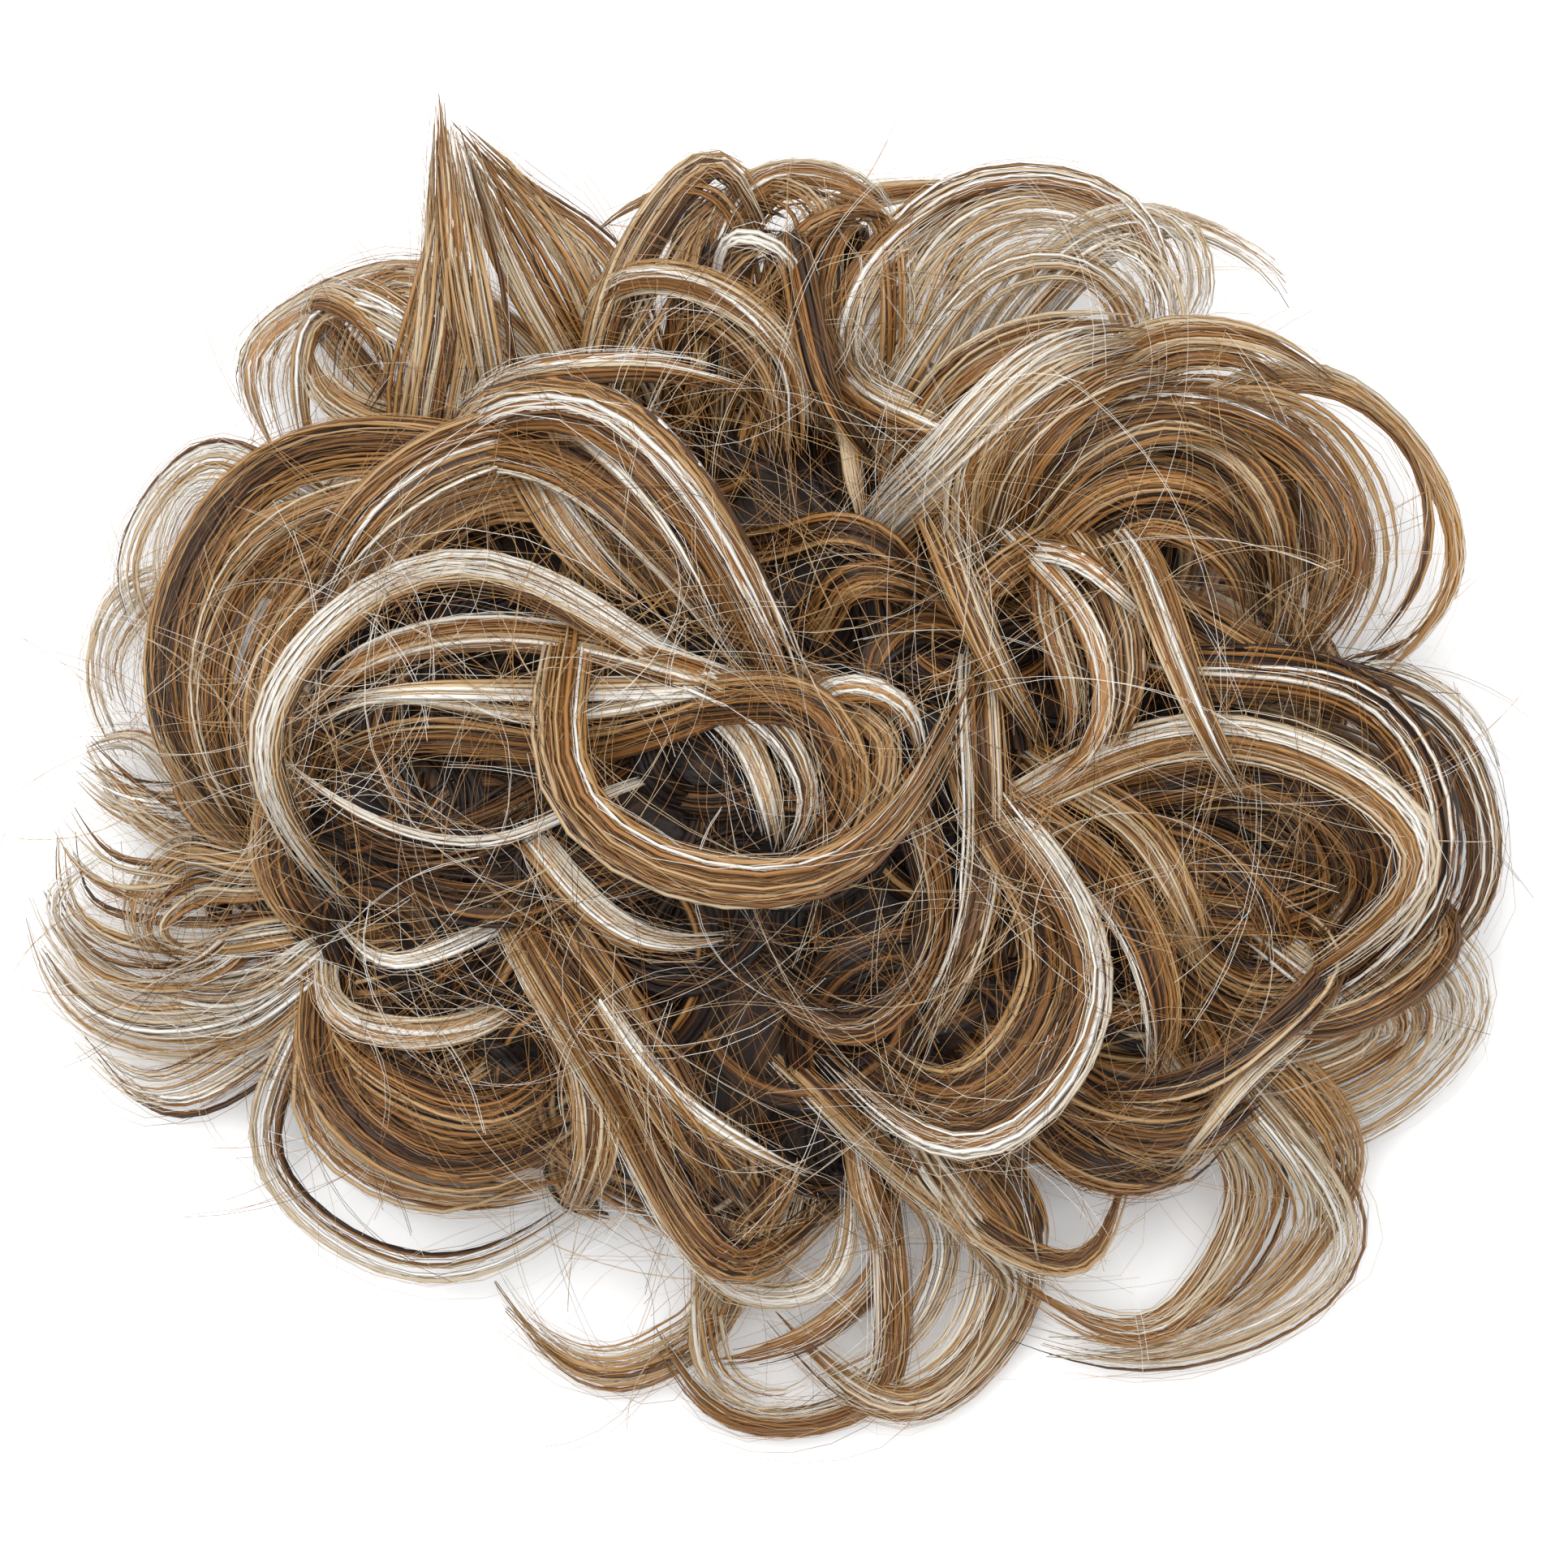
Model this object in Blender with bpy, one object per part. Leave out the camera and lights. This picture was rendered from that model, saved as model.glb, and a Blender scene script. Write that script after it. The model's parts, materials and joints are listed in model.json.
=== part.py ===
"""Top knot hairpiece: a covered elastic ring with a cushion of loose curled locks round and over it.

Metres, +Z up. The piece lies on its underside, the elastic ring, with the curls towards +Z.
X runs across the widest way of the hairpiece and Y up its face.
"""

import bmesh
import bpy
import numpy as np
from mathutils import Vector

MM = 0.001

# Reading of the picture: the hairpiece's middle, the size of one picture pixel at mid height,
# and how far off the picture was taken, which makes the higher curls look a little larger.
FACE_MIDDLE_PX_X = 937.0
FACE_MIDDLE_PX_Y = 972.0
MM_PER_PX = 0.085
VIEW_DISTANCE_MM = 900.0
MID_HEIGHT_MM = 28.0

# Elastic ring
RING_BORE_RADIUS_MM = 21.0
RING_OUTER_RADIUS_MM = 27.0
RING_HEIGHT_MM = 8.0
RING_EDGE_MM = 2.2
RING_SEGMENTS = 32
PIECE_GAP_MM = 0.3

# Cushion of gathered roots, hollow over the ring
CUSHION_HALF_X_MM = 56.0
CUSHION_HALF_Y_MM = 42.0
CUSHION_TOP_MM = 39.0
CUSHION_FOOT_MM = 1.0
CUSHION_SHOULDER_MM = 11.0
HOLLOW_TOP_MM = 21.0
HOLLOW_EDGE_MM = 12.0
CUSHION_SEGMENTS = 32
CUSHION_RISE_STEPS = 5
PUFF_DEPTH = 0.05
PUFF_COUNT = 8

# Locks
LOCK_FULLNESS = 1.2
LOCK_FLATNESS = 0.45
LOCK_ROOT_SINK_MM = 4.0
BACK_SLOPE = 0.9
MOST_BACK_MM = 10.0
ROOT_REACH = 0.86
NARROW_LOCK_MM = 5.1
SECTION_STEP_MM = 15.5
LEAST_SECTIONS = 5
MOST_SECTIONS = 8

# Every lock is a curl through four places: its root, where it rises, where it falls, its tip.
# The places are read off the picture in pixels, the heights over the floor and the width are mm,
# and tip_share is the width left at the tip.
LOCK_COLUMNS = (
    "root_x", "root_y", "rise_x", "rise_y", "fall_x", "fall_y", "tip_x", "tip_y",
    "root_h", "crest_h", "tip_h", "width", "tip_share",
)
LOCKS = {
    "spike_left": (527, 520, 545, 410, 555, 290, 542, 133, 30, 34, 40, 6.5, 0.14),
    "spike_middle": (610, 500, 590, 400, 572, 290, 556, 165, 31, 36, 40, 5.5, 0.2),
    "spike_right": (700, 440, 650, 355, 605, 270, 568, 170, 30, 33, 38, 4.5, 0.2),
    "spike_wing": (790, 420, 735, 300, 660, 232, 571, 168, 29, 31, 37, 3.0, 0.4),
    "spike_back": (480, 500, 505, 400, 528, 310, 518, 216, 26, 30, 33, 4.5, 0.25),
    "left_top_outer": (545, 320, 400, 345, 303, 420, 335, 570, 27, 16, 15, 3.4, 0.6),
    "left_top_inner": (430, 375, 378, 400, 366, 480, 388, 575, 25, 20, 17, 2.8, 0.6),
    "left_top_fold": (395, 362, 450, 392, 474, 440, 450, 500, 22, 27, 24, 3.2, 0.6),
    "left_top_band": (550, 525, 470, 515, 405, 485, 378, 425, 29, 23, 19, 4.0, 0.6),
    "left_top_veil": (545, 360, 470, 350, 425, 400, 415, 480, 27, 24, 20, 5.0, 0.6),
    "left_small_outer": (335, 580, 240, 553, 150, 690, 212, 832, 20, 12, 17, 3.2, 0.7),
    "left_far_loop": (205, 700, 128, 745, 112, 830, 145, 925, 15, 9, 9, 3.0, 0.6),
    "left_far_tip": (300, 1010, 220, 960, 165, 915, 107, 937, 18, 11, 8, 3.6, 0.3),
    "left_far_low": (330, 1065, 240, 1040, 170, 990, 122, 925, 18, 12, 9, 4.0, 0.3),
    "arch_outer": (560, 552, 330, 578, 203, 860, 345, 1075, 38, 30, 22, 6.0, 0.7),
    "arch_second": (710, 530, 600, 540, 450, 630, 385, 745, 46, 46, 38, 6.0, 0.7),
    "arch_third": (430, 630, 300, 710, 248, 870, 320, 1040, 40, 32, 24, 5.4, 0.7),
    "arch_white": (790, 795, 560, 697, 330, 880, 440, 1132, 50, 46, 30, 3.8, 0.5),
    "row_high": (860, 830, 600, 778, 430, 822, 357, 905, 50, 45, 36, 3.4, 0.5),
    "row_low": (865, 875, 700, 918, 530, 905, 384, 946, 49, 42, 34, 4.2, 0.4),
    "hollow_white": (740, 1085, 600, 1148, 470, 1185, 412, 1138, 40, 36, 32, 2.6, 0.5),
    "hollow_tangle": (705, 960, 620, 1010, 500, 1040, 400, 1000, 44, 43, 37, 5.4, 0.5),
    "hollow_tangle_low": (745, 1085, 650, 1105, 540, 1100, 450, 1050, 43, 42, 37, 5.0, 0.5),
    "arch_blond": (360, 640, 235, 760, 222, 930, 320, 1060, 33, 26, 20, 4.5, 0.7),
    "crown_pale": (660, 590, 690, 640, 730, 690, 790, 745, 46, 48, 49, 4.2, 0.6),
    "diagonal": (590, 515, 740, 505, 900, 685, 985, 865, 44, 56, 50, 5.0, 0.7),
    "diagonal_under": (590, 550, 700, 575, 840, 700, 950, 845, 44, 52, 47, 4.6, 0.7),
    "corner_outer": (400, 1160, 250, 1232, 62, 1110, 128, 1050, 24, 12, 14, 3.2, 0.5),
    "corner_middle": (395, 1210, 260, 1292, 90, 1260, 28, 1145, 24, 10, 8, 3.4, 0.2),
    "corner_low": (398, 1212, 320, 1318, 215, 1370, 89, 1279, 24, 11, 7, 2.8, 0.3),
    "corner_white": (345, 1075, 325, 1125, 270, 1180, 195, 1208, 24, 17, 12, 4.2, 0.5),
    "corner_beige": (290, 1060, 200, 1062, 158, 1130, 195, 1195, 22, 13, 11, 4.0, 0.5),
    "low_white": (397, 1212, 460, 1272, 580, 1268, 660, 1215, 26, 34, 30, 3.0, 0.6),
    "low_inner_gold": (405, 1235, 470, 1330, 600, 1370, 700, 1300, 25, 33, 30, 5.2, 0.7),
    "low_gold": (398, 1225, 410, 1340, 570, 1437, 705, 1385, 24, 30, 28, 6.2, 0.7),
    "low_tan": (385, 1230, 400, 1400, 540, 1518, 705, 1472, 22, 20, 24, 3.8, 0.6),
    "low_outer": (380, 1240, 335, 1420, 520, 1572, 765, 1455, 20, 12, 20, 3.8, 0.6),
    "low_fall": (650, 1180, 715, 1290, 735, 1400, 700, 1500, 34, 34, 26, 5.0, 0.5),
    "hook_gold": (660, 1180, 790, 1400, 900, 1562, 1035, 1480, 40, 34, 26, 5.6, 0.6),
    "hook_inner": (700, 1150, 790, 1290, 850, 1400, 930, 1500, 40, 38, 30, 5.0, 0.5),
    "tuft_lower": (900, 1560, 862, 1660, 760, 1712, 618, 1593, 18, 8, 5, 3.6, 0.15),
    "tuft_upper": (880, 1600, 830, 1640, 740, 1650, 655, 1600, 17, 9, 6, 3.0, 0.2),
    "rings_outer": (1100, 1640, 1060, 1742, 900, 1758, 806, 1648, 17, 8, 10, 4.0, 0.5),
    "rings_big": (1190, 1490, 1262, 1610, 1140, 1745, 955, 1628, 24, 9, 12, 5.5, 0.5),
    "rings_inner": (1070, 1470, 1085, 1570, 1000, 1650, 872, 1684, 25, 16, 11, 3.2, 0.5),
    "rings_left": (930, 1590, 868, 1630, 872, 1690, 930, 1735, 18, 12, 10, 3.0, 0.6),
    "rings_fill": (1110, 1430, 1165, 1560, 1120, 1660, 1010, 1725, 26, 14, 10, 4.5, 0.5),
    "rings_slope": (1000, 1340, 1160, 1483, 1330, 1562, 1398, 1410, 34, 24, 20, 3.0, 0.6),
    "foot_inner": (1440, 1400, 1512, 1500, 1400, 1645, 1232, 1570, 26, 12, 16, 3.8, 0.5),
    "foot_outer": (1640, 1400, 1672, 1560, 1450, 1690, 1285, 1650, 22, 9, 10, 4.0, 0.5),
    "foot_middle": (1570, 1400, 1605, 1530, 1470, 1650, 1330, 1668, 24, 11, 10, 5.0, 0.5),
    "side_pale": (1790, 1160, 1822, 1290, 1660, 1415, 1480, 1385, 26, 12, 24, 4.3, 0.5),
    "side_inner": (1760, 1190, 1775, 1290, 1650, 1370, 1500, 1350, 26, 16, 26, 4.5, 0.5),
    "side_brown": (1640, 1210, 1580, 1270, 1480, 1333, 1360, 1348, 36, 36, 34, 3.4, 0.5),
    "side_top": (1790, 1165, 1720, 1235, 1620, 1268, 1520, 1252, 30, 34, 36, 3.5, 0.5),
    "great_white": (1236, 1000, 1345, 1220, 1210, 1405, 1010, 1290, 46, 44, 38, 4.4, 0.5),
    "great_inner": (1225, 1010, 1300, 1190, 1190, 1345, 1060, 1290, 46, 43, 36, 5.5, 0.6),
    "great_outer": (1262, 1005, 1375, 1100, 1432, 1220, 1430, 1335, 46, 42, 34, 5.0, 0.5),
    "great_blond": (1345, 975, 1415, 1025, 1465, 1110, 1490, 1180, 44, 42, 34, 3.6, 0.5),
    "right_ring": (1236, 997, 1500, 905, 1755, 1050, 1580, 1228, 44, 44, 34, 4.5, 0.6),
    "right_middle": (1480, 825, 1700, 875, 1778, 1080, 1600, 1262, 42, 38, 30, 5.2, 0.6),
    "right_outer": (1670, 840, 1815, 920, 1848, 1100, 1720, 1232, 36, 24, 24, 5.2, 0.5),
    "right_core": (1400, 960, 1560, 940, 1700, 1060, 1620, 1190, 38, 38, 30, 5.0, 0.6),
    "upper_outer": (1423, 530, 1640, 462, 1797, 660, 1640, 842, 40, 24, 30, 3.0, 0.6),
    "upper_middle": (1420, 500, 1590, 540, 1675, 680, 1590, 825, 42, 36, 32, 4.2, 0.6),
    "upper_tan": (1390, 530, 1480, 532, 1565, 600, 1590, 740, 42, 40, 34, 4.0, 0.6),
    "upper_top": (1360, 450, 1430, 408, 1540, 410, 1650, 470, 40, 36, 28, 3.2, 0.6),
    "upper_white": (1110, 628, 1185, 550, 1280, 455, 1400, 412, 40, 50, 42, 5.6, 0.6),
    "upper_gold": (1195, 700, 1203, 570, 1275, 470, 1410, 425, 40, 50, 42, 4.2, 0.6),
    "upper_blond": (1232, 640, 1270, 550, 1340, 485, 1450, 455, 42, 50, 40, 4.0, 0.6),
    "upper_core": (1262, 650, 1330, 560, 1440, 515, 1560, 560, 42, 46, 40, 4.0, 0.6),
    "knot_left": (1270, 680, 1210, 735, 1250, 840, 1290, 915, 46, 48, 44, 3.0, 0.4),
    "knot_grey": (1278, 685, 1350, 780, 1355, 910, 1245, 990, 46, 50, 46, 2.8, 0.6),
    "knot_bright": (1405, 680, 1455, 785, 1505, 905, 1615, 945, 46, 52, 46, 3.8, 0.4),
    "knot_tan": (1350, 690, 1390, 780, 1390, 870, 1350, 965, 46, 48, 42, 3.2, 0.5),
    "spine_top": (1155, 645, 1190, 730, 1235, 830, 1285, 915, 44, 50, 44, 3.2, 0.5),
    "spine_long": (1215, 905, 1218, 1030, 1195, 1170, 1125, 1295, 48, 46, 40, 4.2, 0.5),
    "spine_ring": (1130, 1010, 1155, 1150, 1060, 1270, 910, 1165, 46, 44, 40, 3.8, 0.6),
    "ring_lock": (700, 760, 715, 990, 1000, 1078, 1206, 825, 54, 57, 56, 5.2, 0.35),
    "fan_white": (868, 841, 950, 890, 995, 970, 965, 1062, 50, 50, 44, 3.0, 0.5),
    "fan_gold": (885, 860, 1000, 870, 1048, 960, 990, 1057, 50, 52, 44, 5.0, 0.5),
    "top_white": (600, 480, 700, 448, 820, 447, 925, 475, 38, 46, 44, 3.2, 0.6),
    "top_blond": (750, 352, 890, 358, 980, 450, 988, 552, 34, 42, 40, 3.6, 0.6),
    "top_arch": (745, 395, 800, 270, 880, 192, 944, 285, 34, 34, 36, 4.2, 0.6),
    "top_veil": (760, 420, 810, 330, 850, 270, 905, 230, 33, 34, 34, 5.0, 0.6),
    "top_bend": (975, 290, 998, 390, 1030, 500, 1090, 575, 36, 44, 40, 3.2, 0.6),
    "top_edge": (935, 215, 1000, 203, 1070, 228, 1098, 285, 32, 28, 30, 3.2, 0.6),
    "top_right": (1040, 270, 1010, 340, 1020, 420, 1080, 500, 32, 36, 34, 3.2, 0.6),
    "crown_left": (1140, 515, 1040, 450, 1060, 340, 1180, 235, 40, 34, 30, 3.6, 0.7),
    "crown_arch": (1045, 380, 1190, 225, 1390, 245, 1445, 400, 32, 28, 34, 4.4, 0.7),
    "crown_inner": (1150, 425, 1230, 340, 1340, 328, 1420, 405, 34, 33, 36, 3.8, 0.7),
    "crown_side": (1420, 250, 1482, 272, 1500, 340, 1452, 405, 24, 20, 28, 3.4, 0.6),
    "crown_low": (1130, 520, 1190, 450, 1290, 405, 1420, 400, 38, 42, 40, 4.0, 0.6),
    "middle_upper": (985, 660, 1045, 652, 1105, 680, 1140, 730, 40, 44, 42, 3.6, 0.6),
    "middle_lower": (1020, 750, 1050, 715, 1095, 712, 1155, 740, 42, 46, 44, 3.6, 0.6),
}

HAIR_COLOUR = (0.42, 0.25, 0.11, 1.0)
RING_COLOUR = (0.16, 0.085, 0.035, 1.0)


def clear_scene():
    for obj in list(bpy.data.objects):
        bpy.data.objects.remove(obj, do_unlink=True)
    for mesh in list(bpy.data.meshes):
        bpy.data.meshes.remove(mesh)


def make_material(name, colour, roughness):
    material = bpy.data.materials.new(name)
    material.use_nodes = True
    shader = material.node_tree.nodes["Principled BSDF"]
    shader.inputs["Base Color"].default_value = colour
    shader.inputs["Roughness"].default_value = roughness
    shader.inputs["Metallic"].default_value = 0.0
    return material


def object_from(name, mesh_builder, material=None):
    """A mesh object of triangles, in metres, from a bmesh that the builder fills, with its faces outwards."""
    shape = bmesh.new()
    mesh_builder(shape)
    bmesh.ops.triangulate(shape, faces=shape.faces)
    bmesh.ops.recalc_face_normals(shape, faces=shape.faces)
    mesh = bpy.data.meshes.new(name)
    shape.to_mesh(mesh)
    shape.free()
    obj = bpy.data.objects.new(name, mesh)
    bpy.context.scene.collection.objects.link(obj)
    if material is not None:
        mesh.materials.append(material)
    return obj


def bridge_rings(shape, rings, closed):
    """Quads between neighbouring rings of vertices, each ring closed on itself."""
    pairs = list(zip(rings, rings[1:]))
    if closed:
        pairs.append((rings[-1], rings[0]))
    for lower, upper in pairs:
        count = len(lower)
        for index in range(count):
            following = (index + 1) % count
            shape.faces.new((lower[index], lower[following], upper[following], upper[index]))


def ring_profile():
    """Radius and height of the elastic's section: flat underneath and rounded at its other edges."""
    middle = (RING_BORE_RADIUS_MM + RING_OUTER_RADIUS_MM) / 2
    half = (RING_OUTER_RADIUS_MM - RING_BORE_RADIUS_MM) / 2
    edge = RING_EDGE_MM
    foot = half - edge * 0.35
    return [
        (middle - foot, 0.0),
        (middle + foot, 0.0),
        (middle + half, edge),
        (middle + half, RING_HEIGHT_MM - edge),
        (middle + half - edge * 0.4, RING_HEIGHT_MM - edge * 0.3),
        (middle + half - edge, RING_HEIGHT_MM),
        (middle - half + edge, RING_HEIGHT_MM),
        (middle - half + edge * 0.4, RING_HEIGHT_MM - edge * 0.3),
        (middle - half, RING_HEIGHT_MM - edge),
        (middle - half, edge),
    ]


def build_elastic_ring():
    def fill(shape):
        rings = []
        for segment in range(RING_SEGMENTS):
            angle = 2 * np.pi * segment / RING_SEGMENTS
            places = [
                (radius * np.cos(angle) * MM, radius * np.sin(angle) * MM, height * MM)
                for radius, height in ring_profile()
            ]
            rings.append([shape.verts.new(place) for place in places])
        bridge_rings(shape, rings, closed=True)

    return object_from("elastic_ring", fill, make_material("elastic_cover", RING_COLOUR, 0.85))


def cushion_height(x, y):
    """Height of the cushion's upper face over a place, in mm; the shoulder's height outside it."""
    reach = (x / CUSHION_HALF_X_MM) ** 2 + (y / CUSHION_HALF_Y_MM) ** 2
    rise = CUSHION_TOP_MM - CUSHION_SHOULDER_MM
    return CUSHION_SHOULDER_MM + rise * np.sqrt(max(0.0, 1.0 - reach))


def cushion_rings():
    """Rings of the cushion as (share of the full size, own radius or none, height), from the
    hollow's ceiling down its bore, out under the foot and up over the top."""
    bore = RING_OUTER_RADIUS_MM + PIECE_GAP_MM
    rings = [
        (None, bore * 0.35, HOLLOW_TOP_MM - 0.6),
        (None, bore * 0.75, (HOLLOW_TOP_MM + HOLLOW_EDGE_MM) / 2 + 1.5),
        (None, bore, HOLLOW_EDGE_MM),
        (None, bore, CUSHION_FOOT_MM),
        (0.86, None, CUSHION_FOOT_MM),
        (0.98, None, CUSHION_SHOULDER_MM * 0.5),
        (1.0, None, CUSHION_SHOULDER_MM),
    ]
    for step in range(1, CUSHION_RISE_STEPS):
        turn = np.pi / 2 * step / CUSHION_RISE_STEPS
        height = CUSHION_SHOULDER_MM + (CUSHION_TOP_MM - CUSHION_SHOULDER_MM) * np.sin(turn)
        rings.append((np.cos(turn), None, height))
    return rings


def build_cushion():
    def fill(shape):
        rings = []
        for share, radius, height in cushion_rings():
            ring = []
            for segment in range(CUSHION_SEGMENTS):
                angle = 2 * np.pi * segment / CUSHION_SEGMENTS
                puff = 1 + PUFF_DEPTH * np.cos(PUFF_COUNT * angle)
                half_x = radius if share is None else share * puff * CUSHION_HALF_X_MM
                half_y = radius if share is None else share * puff * CUSHION_HALF_Y_MM
                place = (half_x * np.cos(angle) * MM, half_y * np.sin(angle) * MM, height * MM)
                ring.append(shape.verts.new(place))
            rings.append(ring)
        bridge_rings(shape, rings, closed=False)
        ceiling = shape.verts.new((0.0, 0.0, HOLLOW_TOP_MM * MM))
        summit = shape.verts.new((0.0, 0.0, CUSHION_TOP_MM * MM))
        for pole, ring in ((ceiling, rings[0]), (summit, rings[-1])):
            for index, vertex in enumerate(ring):
                shape.faces.new((pole, vertex, ring[(index + 1) % len(ring)]))

    return object_from("hair_curls", fill)


def place_mm(pixel_x, pixel_y, height):
    """A picture place at a height, as X, Y and Z in mm."""
    nearer = 1 - (height - MID_HEIGHT_MM) / VIEW_DISTANCE_MM
    x = (pixel_x - FACE_MIDDLE_PX_X) * MM_PER_PX * nearer
    y = (FACE_MIDDLE_PX_Y - pixel_y) * MM_PER_PX * nearer
    return np.array((x, y, height))


def root_in_cushion(root, heading):
    """The place inside the cushion that a lock grows from, behind and under its visible root."""
    drop = max(0.0, root[2] - cushion_height(root[0], root[1])) + LOCK_ROOT_SINK_MM
    way = heading[:2] / np.linalg.norm(heading[:2])
    behind = root[:2] - way * min(MOST_BACK_MM, drop * BACK_SLOPE)
    reach = np.hypot(behind[0] / CUSHION_HALF_X_MM, behind[1] / CUSHION_HALF_Y_MM)
    x, y = behind * min(1.0, ROOT_REACH / max(reach, 1e-6))
    return np.array((x, y, min(root[2], cushion_height(x, y)) - LOCK_ROOT_SINK_MM))


def smooth_path(places, count):
    """Natural cubic spline through the places, spaced by their distances, at count even steps."""
    knots = np.concatenate(([0.0], np.cumsum(np.linalg.norm(np.diff(places, axis=0), axis=1))))
    gaps = np.diff(knots)
    size = len(places)
    system = np.eye(size)
    bend = np.zeros((size, 3))
    for index in range(1, size - 1):
        before, after = gaps[index - 1], gaps[index]
        system[index, index - 1:index + 2] = (before, 2 * (before + after), after)
        slopes = (places[index + 1] - places[index]) / after - (places[index] - places[index - 1]) / before
        bend[index] = 6 * slopes
    curvature = np.linalg.solve(system, bend)
    path = []
    for distance in np.linspace(0.0, knots[-1], count):
        span = min(np.searchsorted(knots, distance, side="right") - 1, size - 2)
        gap = gaps[span]
        left = (knots[span + 1] - distance) / gap
        right = 1 - left
        straight = left * places[span] + right * places[span + 1]
        curve = (left**3 - left) * curvature[span] + (right**3 - right) * curvature[span + 1]
        path.append(straight + curve * gap**2 / 6)
    return np.array(path)


def lock_path(row, count=None):
    """The lock's middle line in mm, from inside the cushion to its tip."""
    heights = (row["root_h"], row["crest_h"], row["crest_h"], row["tip_h"])
    stations = [
        place_mm(row[f"{name}_x"], row[f"{name}_y"], height)
        for name, height in zip(("root", "rise", "fall", "tip"), heights)
    ]
    root = root_in_cushion(stations[0], stations[1] - stations[0])
    places = np.array([root] + stations)
    length = np.linalg.norm(np.diff(places, axis=0), axis=1).sum()
    if count is None:
        count = int(np.clip(round(length / SECTION_STEP_MM) + 1, LEAST_SECTIONS, MOST_SECTIONS))
    return smooth_path(places, count)


def lock_frames(path):
    """Unit directions along, across and out of the flat of a lock at each point of its path.
    The flat lies on the cushion: out is the direction away from a place under its middle."""
    along = np.gradient(path, axis=0)
    along /= np.linalg.norm(along, axis=1)[:, None]
    out = path - np.array((0.0, 0.0, -60.0))
    out[:, :2] *= 0.6
    out /= np.linalg.norm(out, axis=1)[:, None]
    across = np.cross(along, out)
    weight = np.linalg.norm(across, axis=1)
    for index in range(len(path) - 2, -1, -1):
        if np.dot(across[index], across[index + 1]) < 0:
            across[index] *= -1
        if weight[index] < 0.35:
            across[index] = across[index + 1] - along[index] * np.dot(across[index + 1], along[index])
    across /= np.linalg.norm(across, axis=1)[:, None]
    return along, across, np.cross(across, along)


def lock_width(share, row):
    """Width in mm at a share of the lock's length: full in the middle, gathered at both ends."""
    rise = min(1.0, 0.7 + 0.3 * share / 0.25)
    fall = 1.0 if share < 0.6 else 1 - (1 - row["tip_share"]) * ((share - 0.6) / 0.4) ** 1.5
    return row["width"] * LOCK_FULLNESS * rise * fall


def lock_outline(row):
    """Section of a lock as shares of its width and thickness: a flat lens, or a lozenge if narrow."""
    if row["width"] < NARROW_LOCK_MM:
        return (-0.5, 0.0), (0.0, 0.55), (0.5, 0.0), (0.0, -0.55)
    return (-0.5, 0.0), (-0.24, 0.5), (0.24, 0.5), (0.5, 0.0), (0.24, -0.5), (-0.24, -0.5)


def build_lock(name, row):
    outline = lock_outline(row)
    path = lock_path(row)
    _, across, out = lock_frames(path)

    def fill(shape):
        rings = []
        for index, middle in enumerate(path):
            width = lock_width(index / (len(path) - 1), row)
            ring = []
            for wide, thick in outline:
                offset = across[index] * wide * width + out[index] * thick * width * LOCK_FLATNESS
                ring.append(shape.verts.new((middle + offset) * MM))
            rings.append(ring)
        bridge_rings(shape, rings, closed=False)
        shape.faces.new(rings[0])
        shape.faces.new(rings[-1])

    return object_from("lock_" + name, fill)


def connected_shells(shape):
    """The bmesh's faces in groups that share edges."""
    waiting = set(shape.faces)
    shells = []
    while waiting:
        shell = [waiting.pop()]
        for face in shell:
            for edge in face.edges:
                for other in edge.link_faces:
                    if other in waiting:
                        waiting.discard(other)
                        shell.append(other)
        shells.append(shell)
    return shells


def signed_volume(shell):
    total = 0.0
    for face in shell:
        corners = [loop.vert.co for loop in face.loops]
        for second, third in zip(corners[1:], corners[2:]):
            total += corners[0].dot(second.cross(third))
    return total / 6


def evaluated_mesh(obj):
    bpy.context.view_layer.update()
    graph = bpy.context.evaluated_depsgraph_get()
    return bpy.data.meshes.new_from_object(obj.evaluated_get(graph))


def fuse(body, parts):
    """Fuses the parts into the body and fills the pockets that the joins close in."""
    helpers = bpy.data.collections.new("lock_helpers")
    for part in parts:
        bpy.context.scene.collection.objects.unlink(part)
        helpers.objects.link(part)
    modifier = body.modifiers.new("fuse", "BOOLEAN")
    modifier.operation = "UNION"
    modifier.operand_type = "COLLECTION"
    modifier.collection = helpers
    modifier.solver = "MANIFOLD"
    fused = evaluated_mesh(body)
    body.modifiers.clear()
    for part in parts:
        bpy.data.objects.remove(part, do_unlink=True)
    bpy.data.collections.remove(helpers)

    shape = bmesh.new()
    shape.from_mesh(fused)
    shells = connected_shells(shape)
    outer = max(shells, key=signed_volume)
    spare = {vertex for shell in shells if shell is not outer for face in shell for vertex in face.verts}
    bmesh.ops.delete(shape, geom=list(spare), context="VERTS")
    bmesh.ops.triangulate(shape, faces=shape.faces)
    shape.to_mesh(fused)
    shape.free()
    body.data = fused


def build_hair():
    cushion = build_cushion()
    locks = [build_lock(name, dict(zip(LOCK_COLUMNS, values))) for name, values in LOCKS.items()]
    fuse(cushion, locks)
    cushion.data.materials.clear()
    cushion.data.materials.append(make_material("hair", HAIR_COLOUR, 0.45))
    return cushion


def centre_on_floor(pieces):
    """Moves the pieces' points so that the whole stands on Z 0 with its middle on the Z axis."""
    corners = np.array([vertex.co for piece in pieces for vertex in piece.data.vertices])
    low = corners.min(axis=0)
    high = corners.max(axis=0)
    shift = Vector((-(low[0] + high[0]) / 2, -(low[1] + high[1]) / 2, -low[2]))
    for piece in pieces:
        for vertex in piece.data.vertices:
            vertex.co += shift


def main():
    clear_scene()
    pieces = [build_elastic_ring(), build_hair()]
    centre_on_floor(pieces)


main()
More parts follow.
